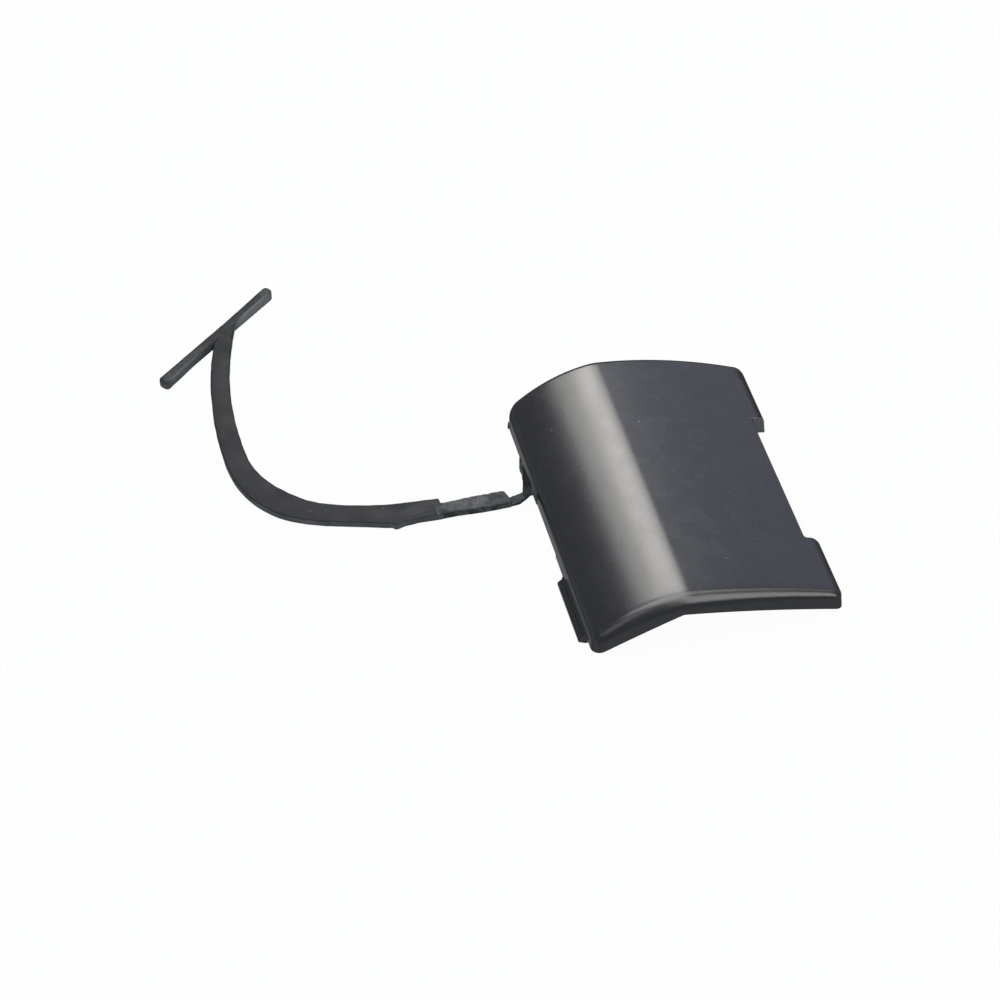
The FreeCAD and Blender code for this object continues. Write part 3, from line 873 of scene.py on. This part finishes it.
def strap_stations(tether):
    """Stations of the strap, the last one cut along the cross-bar's own line."""
    line = tether.centreline()
    end_x, end_y, _, total = line[-1]
    kept = [place for place in line if place[3] < total - CUT_REACH]
    stations = []
    for x, y, heading, done in kept:
        half = 0.5 * tether.width(done)
        outer = half + OUTER_EASE + wander(done, "strap_outer") + bump(done, SWELLING) + bump(done, TOOTH)
        inner = half + INNER_EASE * min(1.0, done / INNER_START) + wander(done, "strap_inner")
        normal = (-math.sin(heading), math.cos(heading))
        left = (x + normal[0] * outer, y + normal[1] * outer)
        right = (x - normal[0] * inner, y - normal[1] * inner)
        raised = min(1.0, max(0.0, (done - total + RAISED_END) / (RAISED_END - CUT_REACH)))
        roof = tether.thickness - STRAP_LOWER + (BAR_HEIGHT - tether.thickness) * raised
        stations.append((left, right, STRAP_GAP, roof + wander(done, "strap_top")))
    heading = kept[-1][2]
    way = (math.cos(heading), math.sin(heading))
    bar = (math.cos(BAR_ANGLE), math.sin(BAR_ANGLE))
    ends = []
    for point in stations[-1][:2]:
        cross = way[0] * bar[1] - way[1] * bar[0]
        t = ((end_x - point[0]) * bar[1] - (end_y - point[1]) * bar[0]) / cross
        ends.append((point[0] + way[0] * t, point[1] + way[1] * t))
    return stations + [(ends[0], ends[1], STRAP_GAP, BAR_HEIGHT - CUT_LOWER)]


# Link: places away from the left wall, front and back edges from the tab's line, and heights
LINK_EDGES = (
    (-0.9, 0.35, 1.45, 1.1), (1.0, -0.9, 0.9, 1.1), (2.6, -1.9, 0.55, 1.0), (3.7, -2.1, 0.4, 0.9),
    (4.7, -2.1, 0.3, 0.9), (5.8, -1.7, 0.5, 0.9),
)
LINK_STEPS = 4
LINK_GAP = 0.04
# Tab: step, corner's rounding, slant of its near end and its reach, wider front and where that fades out
TAB_STEP = 0.3
TAB_ROUND = 1.0
TAB_SKEW = 0.75
TAB_SKEW_REACH = 4.0
TAB_FRONT = 0.5
TAB_FRONT_ENDS = (6.0, 12.0)
TAB_HIGHER = 0.04
TAB_START_ROUND = 0.15
TORN_ROUND = 0.2


def link_stations(shape, tether):
    """The thin ragged link between the root web and the tab."""
    stations = []
    for (a0, f0, b0, h0), (a1, f1, b1, h1) in zip(LINK_EDGES, LINK_EDGES[1:]):
        for i in range(LINK_STEPS):
            t = i / LINK_STEPS
            away = a0 + (a1 - a0) * t
            x = -shape.left_width - away
            front = tether.line + f0 + (f1 - f0) * t + wander(away, "link_front")
            back = tether.line + b0 + (b1 - b0) * t + wander(away, "link_back")
            top = h0 + (h1 - h0) * t + wander(away, "link_top")
            stations.append(((x, front), (x, back), LINK_GAP, top))
    return stations


def tab_stations(tether):
    """The narrow tab, rounded at its free back corner and rough along its back edge."""
    count = int(tether.tab_length / TAB_STEP)
    stations = []
    for i in range(count + 1):
        away = tether.tab_length * i / count
        x = tether.near - away
        skew = TAB_SKEW * max(0.0, 1.0 - away / TAB_SKEW_REACH)
        cut = max(0.0, TAB_ROUND - away)
        rounding = TAB_ROUND - math.sqrt(max(0.0, TAB_ROUND ** 2 - cut ** 2))
        wider = TAB_FRONT * (1.0 - beyond_start(away, TAB_FRONT_ENDS[1], (TAB_FRONT_ENDS[0], 1.0)))
        front = tether.line - 0.5 * tether.tab_width - wider + wander(away, "tab_front")
        back = tether.line + 0.5 * tether.tab_width - rounding - abs(wander(away, "tab_back"))
        top = tether.thickness + TAB_HIGHER + wander(away, "tab_top")
        stations.append(((x + skew, front), (x, back), 0.0, top))
    return stations


def tab_mesh(shape):
    """Link and tab, which lap into each other."""
    tether = tether_shape(shape)
    maker = MeshMaker()
    sweep(maker, link_stations(shape, tether), TORN_ROUND)
    sweep(maker, tab_stations(tether), TORN_ROUND, TAB_START_ROUND)
    return maker


def strap_mesh(shape):
    """Curved strap from the tab to the cross-bar."""
    maker = MeshMaker()
    sweep(maker, strap_stations(tether_shape(shape)), EDGE_ROUND, STRAP_START_ROUND)
    return maker


def bar_mesh(shape):
    """Straight cross-bar with rounded ends."""
    tether = tether_shape(shape)
    along = (math.cos(BAR_ANGLE), math.sin(BAR_ANGLE))
    side = (-along[1], along[0])
    end_x, end_y, _, _ = tether.centreline()[-1]
    middle = (end_x - BAR_SLIDE * along[0], end_y - BAR_SLIDE * along[1])
    inner = 0.5 * tether.bar_length - BAR_SHORTER - BAR_ROUND
    turns = [QUARTER * i / BAR_END_COUNT for i in range(BAR_END_COUNT)]
    places = [-inner - BAR_ROUND * math.cos(turn) for turn in turns]
    places += [-inner + 2.0 * inner * i / BAR_COUNT for i in range(BAR_COUNT + 1)]
    places += [inner + BAR_ROUND * math.cos(turn) for turn in turns[::-1]]
    stations = []
    for place in places:
        past = max(0.0, abs(place) - inner)
        inset = BAR_ROUND - math.sqrt(max(0.0, BAR_ROUND ** 2 - past ** 2))
        width = 0.5 * tether.bar_width - inset
        low = width + wander(place, "bar_front") + beyond_start(-place, inner, BAR_FLARE)
        high = width - wander(place, "bar_back")
        x = middle[0] + along[0] * place
        y = middle[1] + along[1] * place
        front = (x - side[0] * low, y - side[1] * low)
        back = (x + side[0] * high, y + side[1] * high)
        lift = BAR_END_LIFT * inset
        roof = BAR_HEIGHT - lift + wander(place, "bar_top") + beyond_start(place, inner, BAR_HIGHER)
        stations.append((front, back, lift, roof))
    maker = MeshMaker()
    sweep(maker, stations, BAR_EDGE)
    return maker


def set_input(tree, socket, value):
    """Links another socket to an input, or gives the input a plain value."""
    if isinstance(value, bpy.types.NodeSocket):
        tree.links.new(value, socket)
    else:
        socket.default_value = value


def add_node(tree, kind, inputs, **settings):
    """Adds a shader node with its settings, and inputs by name or number. Returns its outputs."""
    node = tree.nodes.new("ShaderNode" + kind)
    for name, value in settings.items():
        setattr(node, name, value)
    for name, value in inputs.items():
        set_input(tree, node.inputs[name], value)
    return node.outputs


def math_node(tree, operation, first, second=0.0):
    """A math node whose inputs are sockets or numbers."""
    return add_node(tree, "Math", {0: first, 1: second}, operation=operation)["Value"]


def ramp_between(tree, value, low, high):
    """Goes from 0 to 1 as value goes from low to high."""
    inputs = {"Value": value, "From Min": low, "From Max": high}
    return add_node(tree, "MapRange", inputs, interpolation_type="SMOOTHSTEP")["Result"]


def noise_value(tree, vector, scale, detail):
    return add_node(tree, "TexNoise", {"Vector": vector, "Scale": scale, "Detail": detail})["Fac"]


GRAIN_DETAIL = 3.0
SOFT_DETAIL = 2.0
MOTTLE_ENDS = (0.25, 0.75)
# Scuffs: turn and stretch of each direction, and how soft their edges are
SCUFF_WAYS = ((0.5, 14.0), (-1.1, 18.0))
SCUFF_SOFT = 0.05
SPECK_REACH = 0.045
MARK_SOFT = 0.6


def mould_grain(tree, given):
    """Fine spark-eroded grain that the mould leaves on the plastic."""
    fine = noise_value(tree, given["Vector"], given["Scale"], GRAIN_DETAIL)
    pits = add_node(tree, "TexVoronoi", {"Vector": given["Vector"], "Scale": given["Scale"]})
    return math_node(tree, "ADD", fine, math_node(tree, "MULTIPLY", pits["Distance"], given["Pits"]))


def mottle(tree, given):
    """Slow cloudy change over the surface, between two values."""
    inputs = {
        "Value": noise_value(tree, given["Vector"], given["Scale"], SOFT_DETAIL),
        "From Min": MOTTLE_ENDS[0], "From Max": MOTTLE_ENDS[1],
        "To Min": given["Low"], "To Max": given["High"],
    }
    return add_node(tree, "MapRange", inputs, interpolation_type="SMOOTHERSTEP")["Result"]


def scuffs(tree, given):
    """Short faint scuffs in two directions."""
    masks = []
    for turn, stretch in SCUFF_WAYS:
        inputs = {"Vector": given["Vector"], "Rotation": (0.0, 0.0, turn), "Scale": (1.0, stretch, 1.0)}
        turned = add_node(tree, "Mapping", inputs)["Vector"]
        streak = noise_value(tree, turned, given["Scale"], SOFT_DETAIL)
        over = math_node(tree, "SUBTRACT", streak, given["Level"])
        masks.append(ramp_between(tree, over, 0.0, SCUFF_SOFT))
    return math_node(tree, "MAXIMUM", masks[0], masks[1])


def dust_specks(tree, given):
    """Sparse pale specks of dust."""
    cells = add_node(tree, "TexVoronoi", {"Vector": given["Vector"], "Scale": given["Scale"]})
    near = math_node(tree, "LESS_THAN", cells["Distance"], SPECK_REACH)
    red = add_node(tree, "SeparateColor", {"Color": cells["Color"]})["Red"]
    return math_node(tree, "MULTIPLY", near, math_node(tree, "LESS_THAN", red, given["Share"]))


def side_sheen_mask(tree, given):
    """Mask of the painted sheen: 1 on upright faces and 0 on level ones, from the surface's own direction.
    """
    up = add_node(tree, "SeparateXYZ", {"Vector": given["Vector"]})["Z"]
    inputs = {
        "Value": math_node(tree, "ABSOLUTE", up),
        "From Min": given["Low"], "From Max": given["High"], "To Min": 1.0, "To Max": 0.0,
    }
    return add_node(tree, "MapRange", inputs)["Result"]


def small_mark(tree, given):
    """One small soft-edged stroke at a place, seen from above, used for small marks and for painted
    highlights.
    """
    place = add_node(tree, "SeparateXYZ", {"Vector": given["Vector"]})
    x = math_node(tree, "SUBTRACT", place["X"], given["X"])
    y = math_node(tree, "SUBTRACT", place["Y"], given["Y"])
    cosine = math_node(tree, "COSINE", given["Angle"])
    sine = math_node(tree, "SINE", given["Angle"])

    def combined(operation, a, b, c, d):
        """a times b and c times d, added or subtracted."""
        return math_node(
            tree, operation, math_node(tree, "MULTIPLY", a, b), math_node(tree, "MULTIPLY", c, d))

    u = math_node(tree, "DIVIDE", combined("ADD", x, cosine, y, sine), given["Length"])
    v = math_node(tree, "DIVIDE", combined("SUBTRACT", y, cosine, x, sine), given["Width"])
    inside = math_node(tree, "SUBTRACT", 1.0, combined("ADD", u, u, v, v))
    return ramp_between(tree, inside, 0.0, MARK_SOFT)


# Shared effects: float inputs after the vector, the one output, and the function that fills the group
GROUPS = {
    "MouldGrain": (("Scale", "Pits"), "Height", mould_grain),
    "Mottle": (("Scale", "Low", "High"), "Value", mottle),
    "Scuffs": (("Scale", "Level"), "Mask", scuffs),
    "DustSpecks": (("Scale", "Share"), "Mask", dust_specks),
    "PaintedSideSheen": (("Low", "High"), "Mask", side_sheen_mask),
    "SmallMark": (("X", "Y", "Angle", "Length", "Width"), "Mask", small_mark),
}


def shared_group(name):
    """The shader node group of a name, which is made when it is first asked for."""
    found = bpy.data.node_groups.get(name)
    if found:
        return found
    inputs, output, fill = GROUPS[name]
    tree = bpy.data.node_groups.new(name, "ShaderNodeTree")
    tree.interface.new_socket("Vector", in_out="INPUT", socket_type="NodeSocketVector")
    for socket in inputs:
        tree.interface.new_socket(socket, in_out="INPUT", socket_type="NodeSocketFloat")
    tree.interface.new_socket(output, in_out="OUTPUT", socket_type="NodeSocketFloat")
    given = tree.nodes.new("NodeGroupInput").outputs
    result = tree.nodes.new("NodeGroupOutput")
    tree.links.new(fill(tree, given), result.inputs[output])
    return tree


def use_group(tree, name, vector, **values):
    """Places a shared group in a material with its own values. Returns its one output."""
    inputs = {"Vector": vector, **values}
    return add_node(tree, "Group", inputs, node_tree=shared_group(name))[0]


# Small marks and painted highlights on the plastic, in mm: x, y from the ridge's middle, angle, half
# length, half width, share
COVER_MARKS_AND_HIGHLIGHTS = (
    (6.0, 16.7, 0.3, 0.30, 0.22, 0.9),
    (-0.2, -6.5, 0.16, 1.7, 0.20, 0.16),
    (-13.5, 21.1, 1.2, 0.60, 0.18, 0.35),
    (34.4, 31.2, 0.0, 0.20, 0.16, 0.9),
    # Painted highlight along the notch's back edge
    (35.0, 16.6, 0.0, 2.6, 0.3, 0.5),
)
TETHER_MARKS_AND_HIGHLIGHTS = (
    (-70.2, 20.8, 0.2, 0.35, 0.18, 0.35),
    (-54.0, 17.4, 0.1, 0.30, 0.16, 0.35),
    (-45.5, 15.3, 0.1, 6.5, 1.7, 0.12),
    # Painted highlights along the cross-bar: its lighter right half and end, and its lighter sides
    (-68.9, 87.95, 0.658, 8.5, 0.95, 0.7),
    (-65.1, 92.8, 0.658, 2.4, 1.5, 0.22),
    (-88.9, 73.7, 0.658, 9.0, 1.9, 0.13),
    (-88.3, 72.9, 0.658, 7.5, 0.95, 0.47),
)
# Finishes: roughness and its change, specular level, grain per metre and its depth in mm, cloudy shade's
# scale and its lowest and highest share, how much paler upright faces are painted as a painted sheen, and
# marks
FINISHES = {
    "CoverPlastic": (0.27, 0.015, 0.16, 5200.0, 0.006, (55.0, 0.95, 1.06), 0.0, COVER_MARKS_AND_HIGHLIGHTS),
    "TetherPlastic": (0.58, 0.05, 0.04, 2600.0, 0.02, (230.0, 0.85, 1.2), 0.20, TETHER_MARKS_AND_HIGHLIGHTS),
    "TornPlastic": (0.56, 0.12, 0.06, 1100.0, 0.10, (620.0, 0.40, 2.0), 0.0, ()),
}
GLOSS_SCALE = 200.0
SCUFF_SCALE = 120.0
SCUFF_LEVEL = 0.73
SCUFF_PALER = 0.012
SCUFF_ROUGHER = 0.03
SPECK_SCALE = 260.0
SPECK_SHARE = 0.04
SPECK_AND_HIGHLIGHT_STRENGTH = 0.55
# Painted sheen on upright faces: full below the first upward share of the surface's direction, gone above
# the second
SIDE_SHEEN_ENDS = (0.2, 0.7)
# Pale colour of dust and scuffs, also used for the painted highlights and the painted side sheen
PALE_DUST_AND_HIGHLIGHT = (0.34, 0.34, 0.35, 1.0)
PIT_SHARE = 0.5
GRAIN_STRENGTH = 0.6
# Where the gloss fades on a face that is seen at a low angle, as 1 less the cosine, and what is left of it
GRAZING_ENDS = (0.39, 0.60)
GRAZING_SHARE = 0.10


def plastic(name, base, shape):
    """Moulded plastic with grain, cloudy gloss, scuffs, dust and the marks of this one part, with painted
    highlights among the marks and a painted sheen on upright faces.
    """
    rough, change, gleam, grain, depth, cloudy, side, marks_and_highlights = FINISHES[name]
    found = bpy.data.materials.get(name)
    if found:
        return found
    material = bpy.data.materials.new(name)
    material.use_nodes = True
    tree = material.node_tree
    facing = add_node(tree, "LayerWeight", {})["Facing"]
    grazing = ramp_between(tree, facing, *GRAZING_ENDS)
    faded = math_node(tree, "MULTIPLY", grazing, gleam * (1.0 - GRAZING_SHARE))
    places = add_node(tree, "TexCoord", {})
    vector = places["Object"]
    gloss = use_group(tree, "Mottle", vector, Scale=GLOSS_SCALE, Low=rough - change, High=rough + change)
    scuffed = use_group(tree, "Scuffs", vector, Scale=SCUFF_SCALE, Level=SCUFF_LEVEL)
    dust_and_highlights = use_group(tree, "DustSpecks", vector, Scale=SPECK_SCALE, Share=SPECK_SHARE)
    move = ridge_move(shape)
    # Among the marks are painted highlights, drawn in the same pale colour as the dust
    for x, y, angle, along, across, share in marks_and_highlights:
        mark = use_group(
            tree, "SmallMark", vector, X=x * MM + move[0], Y=y * MM + move[1], Angle=angle,
            Length=along * MM, Width=across * MM)
        dust_and_highlights = math_node(tree, "MAXIMUM", dust_and_highlights, math_node(tree, "MULTIPLY", mark, share))
    scuffs_and_side_sheen = math_node(tree, "MULTIPLY", scuffed, SCUFF_PALER)
    # Upright faces are painted paler: a painted sheen that stands in for the floor's reflection on the
    # sides.
    if side:
        side_sheen = use_group(
            tree, "PaintedSideSheen", places["Normal"], Low=SIDE_SHEEN_ENDS[0], High=SIDE_SHEEN_ENDS[1])
        scuffs_and_side_sheen = math_node(tree, "ADD", scuffs_and_side_sheen, math_node(tree, "MULTIPLY", side_sheen, side))
    specks_and_highlights = math_node(tree, "MULTIPLY", dust_and_highlights, SPECK_AND_HIGHLIGHT_STRENGTH)
    pale = {"Factor": math_node(tree, "MAXIMUM", scuffs_and_side_sheen, specks_and_highlights), "A": (*base, 1.0), "B": PALE_DUST_AND_HIGHLIGHT}
    tone = add_node(tree, "Mix", pale, data_type="RGBA")["Result"]
    shade = use_group(tree, "Mottle", vector, Scale=cloudy[0], Low=cloudy[1], High=cloudy[2])
    clouded = {"Factor": 1.0, "A": tone, "B": shade}
    height = use_group(tree, "MouldGrain", vector, Scale=grain, Pits=PIT_SHARE)
    grained = {"Distance": depth * MM, "Strength": GRAIN_STRENGTH, "Height": height}
    surface = {
        "Base Color": add_node(tree, "Mix", clouded, data_type="RGBA", blend_type="MULTIPLY")["Result"],
        "Roughness": math_node(tree, "ADD", gloss, math_node(tree, "MULTIPLY", scuffed, SCUFF_ROUGHER)),
        "Specular IOR Level": math_node(tree, "SUBTRACT", gleam, faded),
        "Normal": add_node(tree, "Bump", grained)["Normal"],
    }
    shader = tree.nodes["Principled BSDF"]
    for socket, value in surface.items():
        set_input(tree, shader.inputs[socket], value)
    return material


def cover_plastic(shape):
    return plastic("CoverPlastic", bpy.context.scene.tow_looks.plastic, shape)


def tether_plastic(shape):
    return plastic("TetherPlastic", bpy.context.scene.tow_looks.tether, shape)


def torn_plastic(shape):
    return plastic("TornPlastic", bpy.context.scene.tow_looks.torn, shape)


def background_rays(tree):
    """1 for the rays that see the background: from the camera, in gloss and through glass."""
    path = add_node(tree, "LightPath", {})
    first = math_node(tree, "MAXIMUM", path["Is Camera Ray"], path["Is Glossy Ray"])
    return math_node(tree, "MAXIMUM", first, path["Is Transmission Ray"])


WHITE = (1.0, 1.0, 1.0, 1.0)
FLOOR_ROUGHNESS = 0.9
FLOOR_GLOW = 0.97
SKY_GREY = (0.92, 0.95, 1.0, 1.0)
SKY_STRENGTH = 0.8


def floor_finish():
    """Pale floor that looks white and still keeps the object's shadow."""
    material = bpy.data.materials.new("PaleFloor")
    material.use_nodes = True
    tree = material.node_tree
    shader = tree.nodes["Principled BSDF"]
    shader.inputs["Base Color"].default_value = (*bpy.context.scene.tow_looks.floor, 1.0)
    shader.inputs["Roughness"].default_value = FLOOR_ROUGHNESS
    shader.inputs["Specular IOR Level"].default_value = 0.0
    glow = add_node(tree, "Emission", {"Color": WHITE})["Emission"]
    share = math_node(tree, "MULTIPLY", background_rays(tree), FLOOR_GLOW)
    mixed = add_node(tree, "MixShader", {"Fac": share, 1: shader.outputs["BSDF"], 2: glow})["Shader"]
    tree.links.new(mixed, tree.nodes["Material Output"].inputs["Surface"])
    return material


def make_world():
    """Even grey light, with white where the background is seen."""
    world = bpy.data.worlds.new("StudioWorld")
    bpy.context.scene.world = world
    world.use_nodes = True
    tree = world.node_tree
    light = tree.nodes["Background"]
    light.inputs["Color"].default_value = SKY_GREY
    light.inputs["Strength"].default_value = SKY_STRENGTH
    white = add_node(tree, "Background", {"Color": WHITE, "Strength": 1.0})["Background"]
    inputs = {"Fac": background_rays(tree), 1: light.outputs["Background"], 2: white}
    mixed = add_node(tree, "MixShader", inputs)["Shader"]
    tree.links.new(mixed, tree.nodes["World Output"].inputs["Surface"])


WARM = (1.0, 0.99, 0.95)
COOL = (0.62, 0.68, 1.0)
LAMP_TARGET = Vector((0.0, 0.0, 0.012))
# Lamps: name, direction from their target, distance and size in metres, watts, colour, and whether they
# light gloss alone
LAMPS = (
    ("band_softbox", (-0.04, 0.65, 0.76), 1.6, (0.64, 0.60), 20.5, WARM, True),
    ("crest_softbox", (0.19, 0.64, 0.74), 1.6, (0.62, 0.60), 27.0, WARM, True),
    ("right_softbox", (0.64, 0.62, 0.47), 1.6, (0.92, 0.74), 3.6, COOL, False),
    ("overhead_softbox", (0.08, 0.05, 1.0), 1.3, (0.95, 1.08), 62.0, WARM, True),
    ("top_softbox", (0.62, 0.10, 0.78), 1.3, (0.42, 0.66), 3.5, WARM, True),
    ("front_softbox", (0.39, -0.67, 0.60), 1.3, (0.60, 1.70), 50.0, WARM, True),
    ("front_left_softbox", (-0.38, -0.58, 0.72), 1.3, (0.70, 0.80), 7.0, WARM, True),
)
CAMERA_FROM_RIDGE = Vector((-0.14480, -0.42532, 0.50575))
CAMERA_ELEVATION = math.radians(48.0)
CAMERA_HEADING = math.radians(14.96)
CAMERA_LENS = 107.26
CAMERA_SENSOR = 36.0
CAMERA_CLIPS = (0.01, 20.0)
FLOOR_REACH = 4.0
FLOOR_DROP = 0.0002


def area_light(name, target, direction, distance, size, energy, tint, only_gloss):
    """Soft rectangular lamp that faces a target from a direction."""
    data = bpy.data.lights.new(name, "AREA")
    data.shape = "RECTANGLE"
    data.size, data.size_y = size
    data.energy = energy
    data.color = tint
    lamp = bpy.data.objects.new(name, data)
    way = Vector(direction).normalized()
    lamp.location = Vector(target) + way * distance
    lamp.rotation_euler = way.to_track_quat("Z", "Y").to_euler()
    lamp.visible_diffuse = not only_gloss
    bpy.context.scene.collection.objects.link(lamp)


def ridge_move(shape):
    """Where the ridge's middle stands in the frame, in metres."""
    low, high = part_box(NODE)
    reach = shape.wall_x(shape.right_rim)
    front = min(point[1] for point, _ in shape.outer_run(0.0, reach))
    return Vector((high[0] - reach * MM, low[1] - front * MM, 0.0))


def make_floor():
    """Large pale floor just under the part."""
    mesh = bpy.data.meshes.new("pale_floor")
    corners = [(x * FLOOR_REACH, y * FLOOR_REACH, 0.0) for x, y in ((-1, -1), (1, -1), (1, 1), (-1, 1))]
    mesh.from_pydata(corners, [], [(0, 1, 2, 3)])
    mesh.materials.append(floor_finish())
    floor = bpy.data.objects.new("pale_floor", mesh)
    floor.location.z = -FLOOR_DROP
    bpy.context.scene.collection.objects.link(floor)


def make_camera(shape):
    """Camera at the photograph's own place."""
    data = bpy.data.cameras.new("PhotoCamera")
    data.lens = CAMERA_LENS
    data.sensor_width = CAMERA_SENSOR
    data.clip_start, data.clip_end = CAMERA_CLIPS
    camera = bpy.data.objects.new("PhotoCamera", data)
    camera.location = CAMERA_FROM_RIDGE + ridge_move(shape)
    camera.rotation_euler = (QUARTER - CAMERA_ELEVATION, 0.0, -CAMERA_HEADING)
    bpy.context.scene.collection.objects.link(camera)
    bpy.context.scene.camera = camera


def cover_shape():
    return CoverShape(bpy.context.scene.tow_cover)


def tether_shape(cover):
    return TetherShape(bpy.context.scene.tow_tether, cover)


def build_piece(name, make, finish):
    """Makes one piece of the part from the sizes and colours in the sidebar."""
    shape = cover_shape()
    put_mesh(make(shape), name, shape, finish(shape))
    return {"FINISHED"}


class TOWCOVER_OT_shell(bpy.types.Operator):
    """Build the bent cover with its skirt and notch"""
    bl_idname = "tow_cover.shell"
    bl_label = "Cover shell"

    def execute(self, context):
        return build_piece("cover_shell", cover_mesh, cover_plastic)


class TOWCOVER_OT_ribs(bpy.types.Operator):
    """Build the ribs under the panels"""
    bl_idname = "tow_cover.ribs"
    bl_label = "Underside ribs"

    def execute(self, context):
        return build_piece("underside_ribs", ribs_mesh, cover_plastic)


class TOWCOVER_OT_clip_leg(bpy.types.Operator):
    """Build the clip leg under the left wall"""
    bl_idname = "tow_cover.clip_leg"
    bl_label = "Clip leg"

    def execute(self, context):
        return build_piece("clip_leg", clip_leg_mesh, cover_plastic)


class TOWCOVER_OT_hooks(bpy.types.Operator):
    """Build the hook legs under the right edge"""
    bl_idname = "tow_cover.hooks"
    bl_label = "Hook legs"

    def execute(self, context):
        return build_piece("hook_legs", hooks_mesh, cover_plastic)


class TOWCOVER_OT_root(bpy.types.Operator):
    """Build the web that joins the tether to the cover"""
    bl_idname = "tow_cover.root"
    bl_label = "Tether root"

    def execute(self, context):
        return build_piece("tether_root", root_mesh, tether_plastic)


class TOWCOVER_OT_tab(bpy.types.Operator):
    """Build the torn link and the narrow tab"""
    bl_idname = "tow_cover.tab"
    bl_label = "Tether tab"

    def execute(self, context):
        return build_piece("tether_tab", tab_mesh, torn_plastic)


class TOWCOVER_OT_strap(bpy.types.Operator):
    """Build the curved strap"""
    bl_idname = "tow_cover.strap"
    bl_label = "Tether strap"

    def execute(self, context):
        return build_piece("tether_strap", strap_mesh, tether_plastic)


class TOWCOVER_OT_cross_bar(bpy.types.Operator):
    """Build the cross-bar at the end of the strap"""
    bl_idname = "tow_cover.cross_bar"
    bl_label = "Cross-bar"

    def execute(self, context):
        return build_piece("cross_bar", bar_mesh, tether_plastic)


class TOWCOVER_OT_stage(bpy.types.Operator):
    """Build the pale floor, the lamps, the world and the camera"""
    bl_idname = "tow_cover.stage"
    bl_label = "Stage"

    def execute(self, context):
        shape = cover_shape()
        target = ridge_move(shape) + LAMP_TARGET
        make_floor()
        make_world()
        for name, *lamp in LAMPS:
            area_light(name, target, *lamp)
        make_camera(shape)
        context.scene.view_settings.view_transform = "Standard"
        return {"FINISHED"}


OPERATORS = (
    TOWCOVER_OT_shell,
    TOWCOVER_OT_ribs,
    TOWCOVER_OT_clip_leg,
    TOWCOVER_OT_hooks,
    TOWCOVER_OT_root,
    TOWCOVER_OT_tab,
    TOWCOVER_OT_strap,
    TOWCOVER_OT_cross_bar,
    TOWCOVER_OT_stage,
)


class TOWCOVER_PT_panel(bpy.types.Panel):
    """Sizes, colours and building steps"""
    bl_idname = "TOWCOVER_PT_panel"
    bl_label = "Tow hook cover"
    bl_space_type = "VIEW_3D"
    bl_region_type = "UI"
    bl_category = "Tow Cover"

    def draw(self, context):
        layout = self.layout
        for settings in (context.scene.tow_cover, context.scene.tow_tether, context.scene.tow_looks):
            box = layout.box()
            for name in type(settings).__annotations__:
                box.prop(settings, name)
        for operator in OPERATORS:
            layout.operator(operator.bl_idname)


CLASSES = (TowCoverSizes, TowTetherSizes, TowCoverLooks, *OPERATORS, TOWCOVER_PT_panel)


def register():
    for cls in CLASSES:
        bpy.utils.register_class(cls)
    bpy.types.Scene.tow_cover = bpy.props.PointerProperty(type=TowCoverSizes)
    bpy.types.Scene.tow_tether = bpy.props.PointerProperty(type=TowTetherSizes)
    bpy.types.Scene.tow_looks = bpy.props.PointerProperty(type=TowCoverLooks)


def unregister():
    del bpy.types.Scene.tow_looks
    del bpy.types.Scene.tow_tether
    del bpy.types.Scene.tow_cover
    for cls in reversed(CLASSES):
        bpy.utils.unregister_class(cls)


def main():
    register()
    bpy.ops.tow_cover.shell()
    bpy.ops.tow_cover.ribs()
    bpy.ops.tow_cover.clip_leg()
    bpy.ops.tow_cover.hooks()
    bpy.ops.tow_cover.root()
    bpy.ops.tow_cover.tab()
    bpy.ops.tow_cover.strap()
    bpy.ops.tow_cover.cross_bar()
    bpy.ops.tow_cover.stage()


if __name__ == "__main__":
    main()
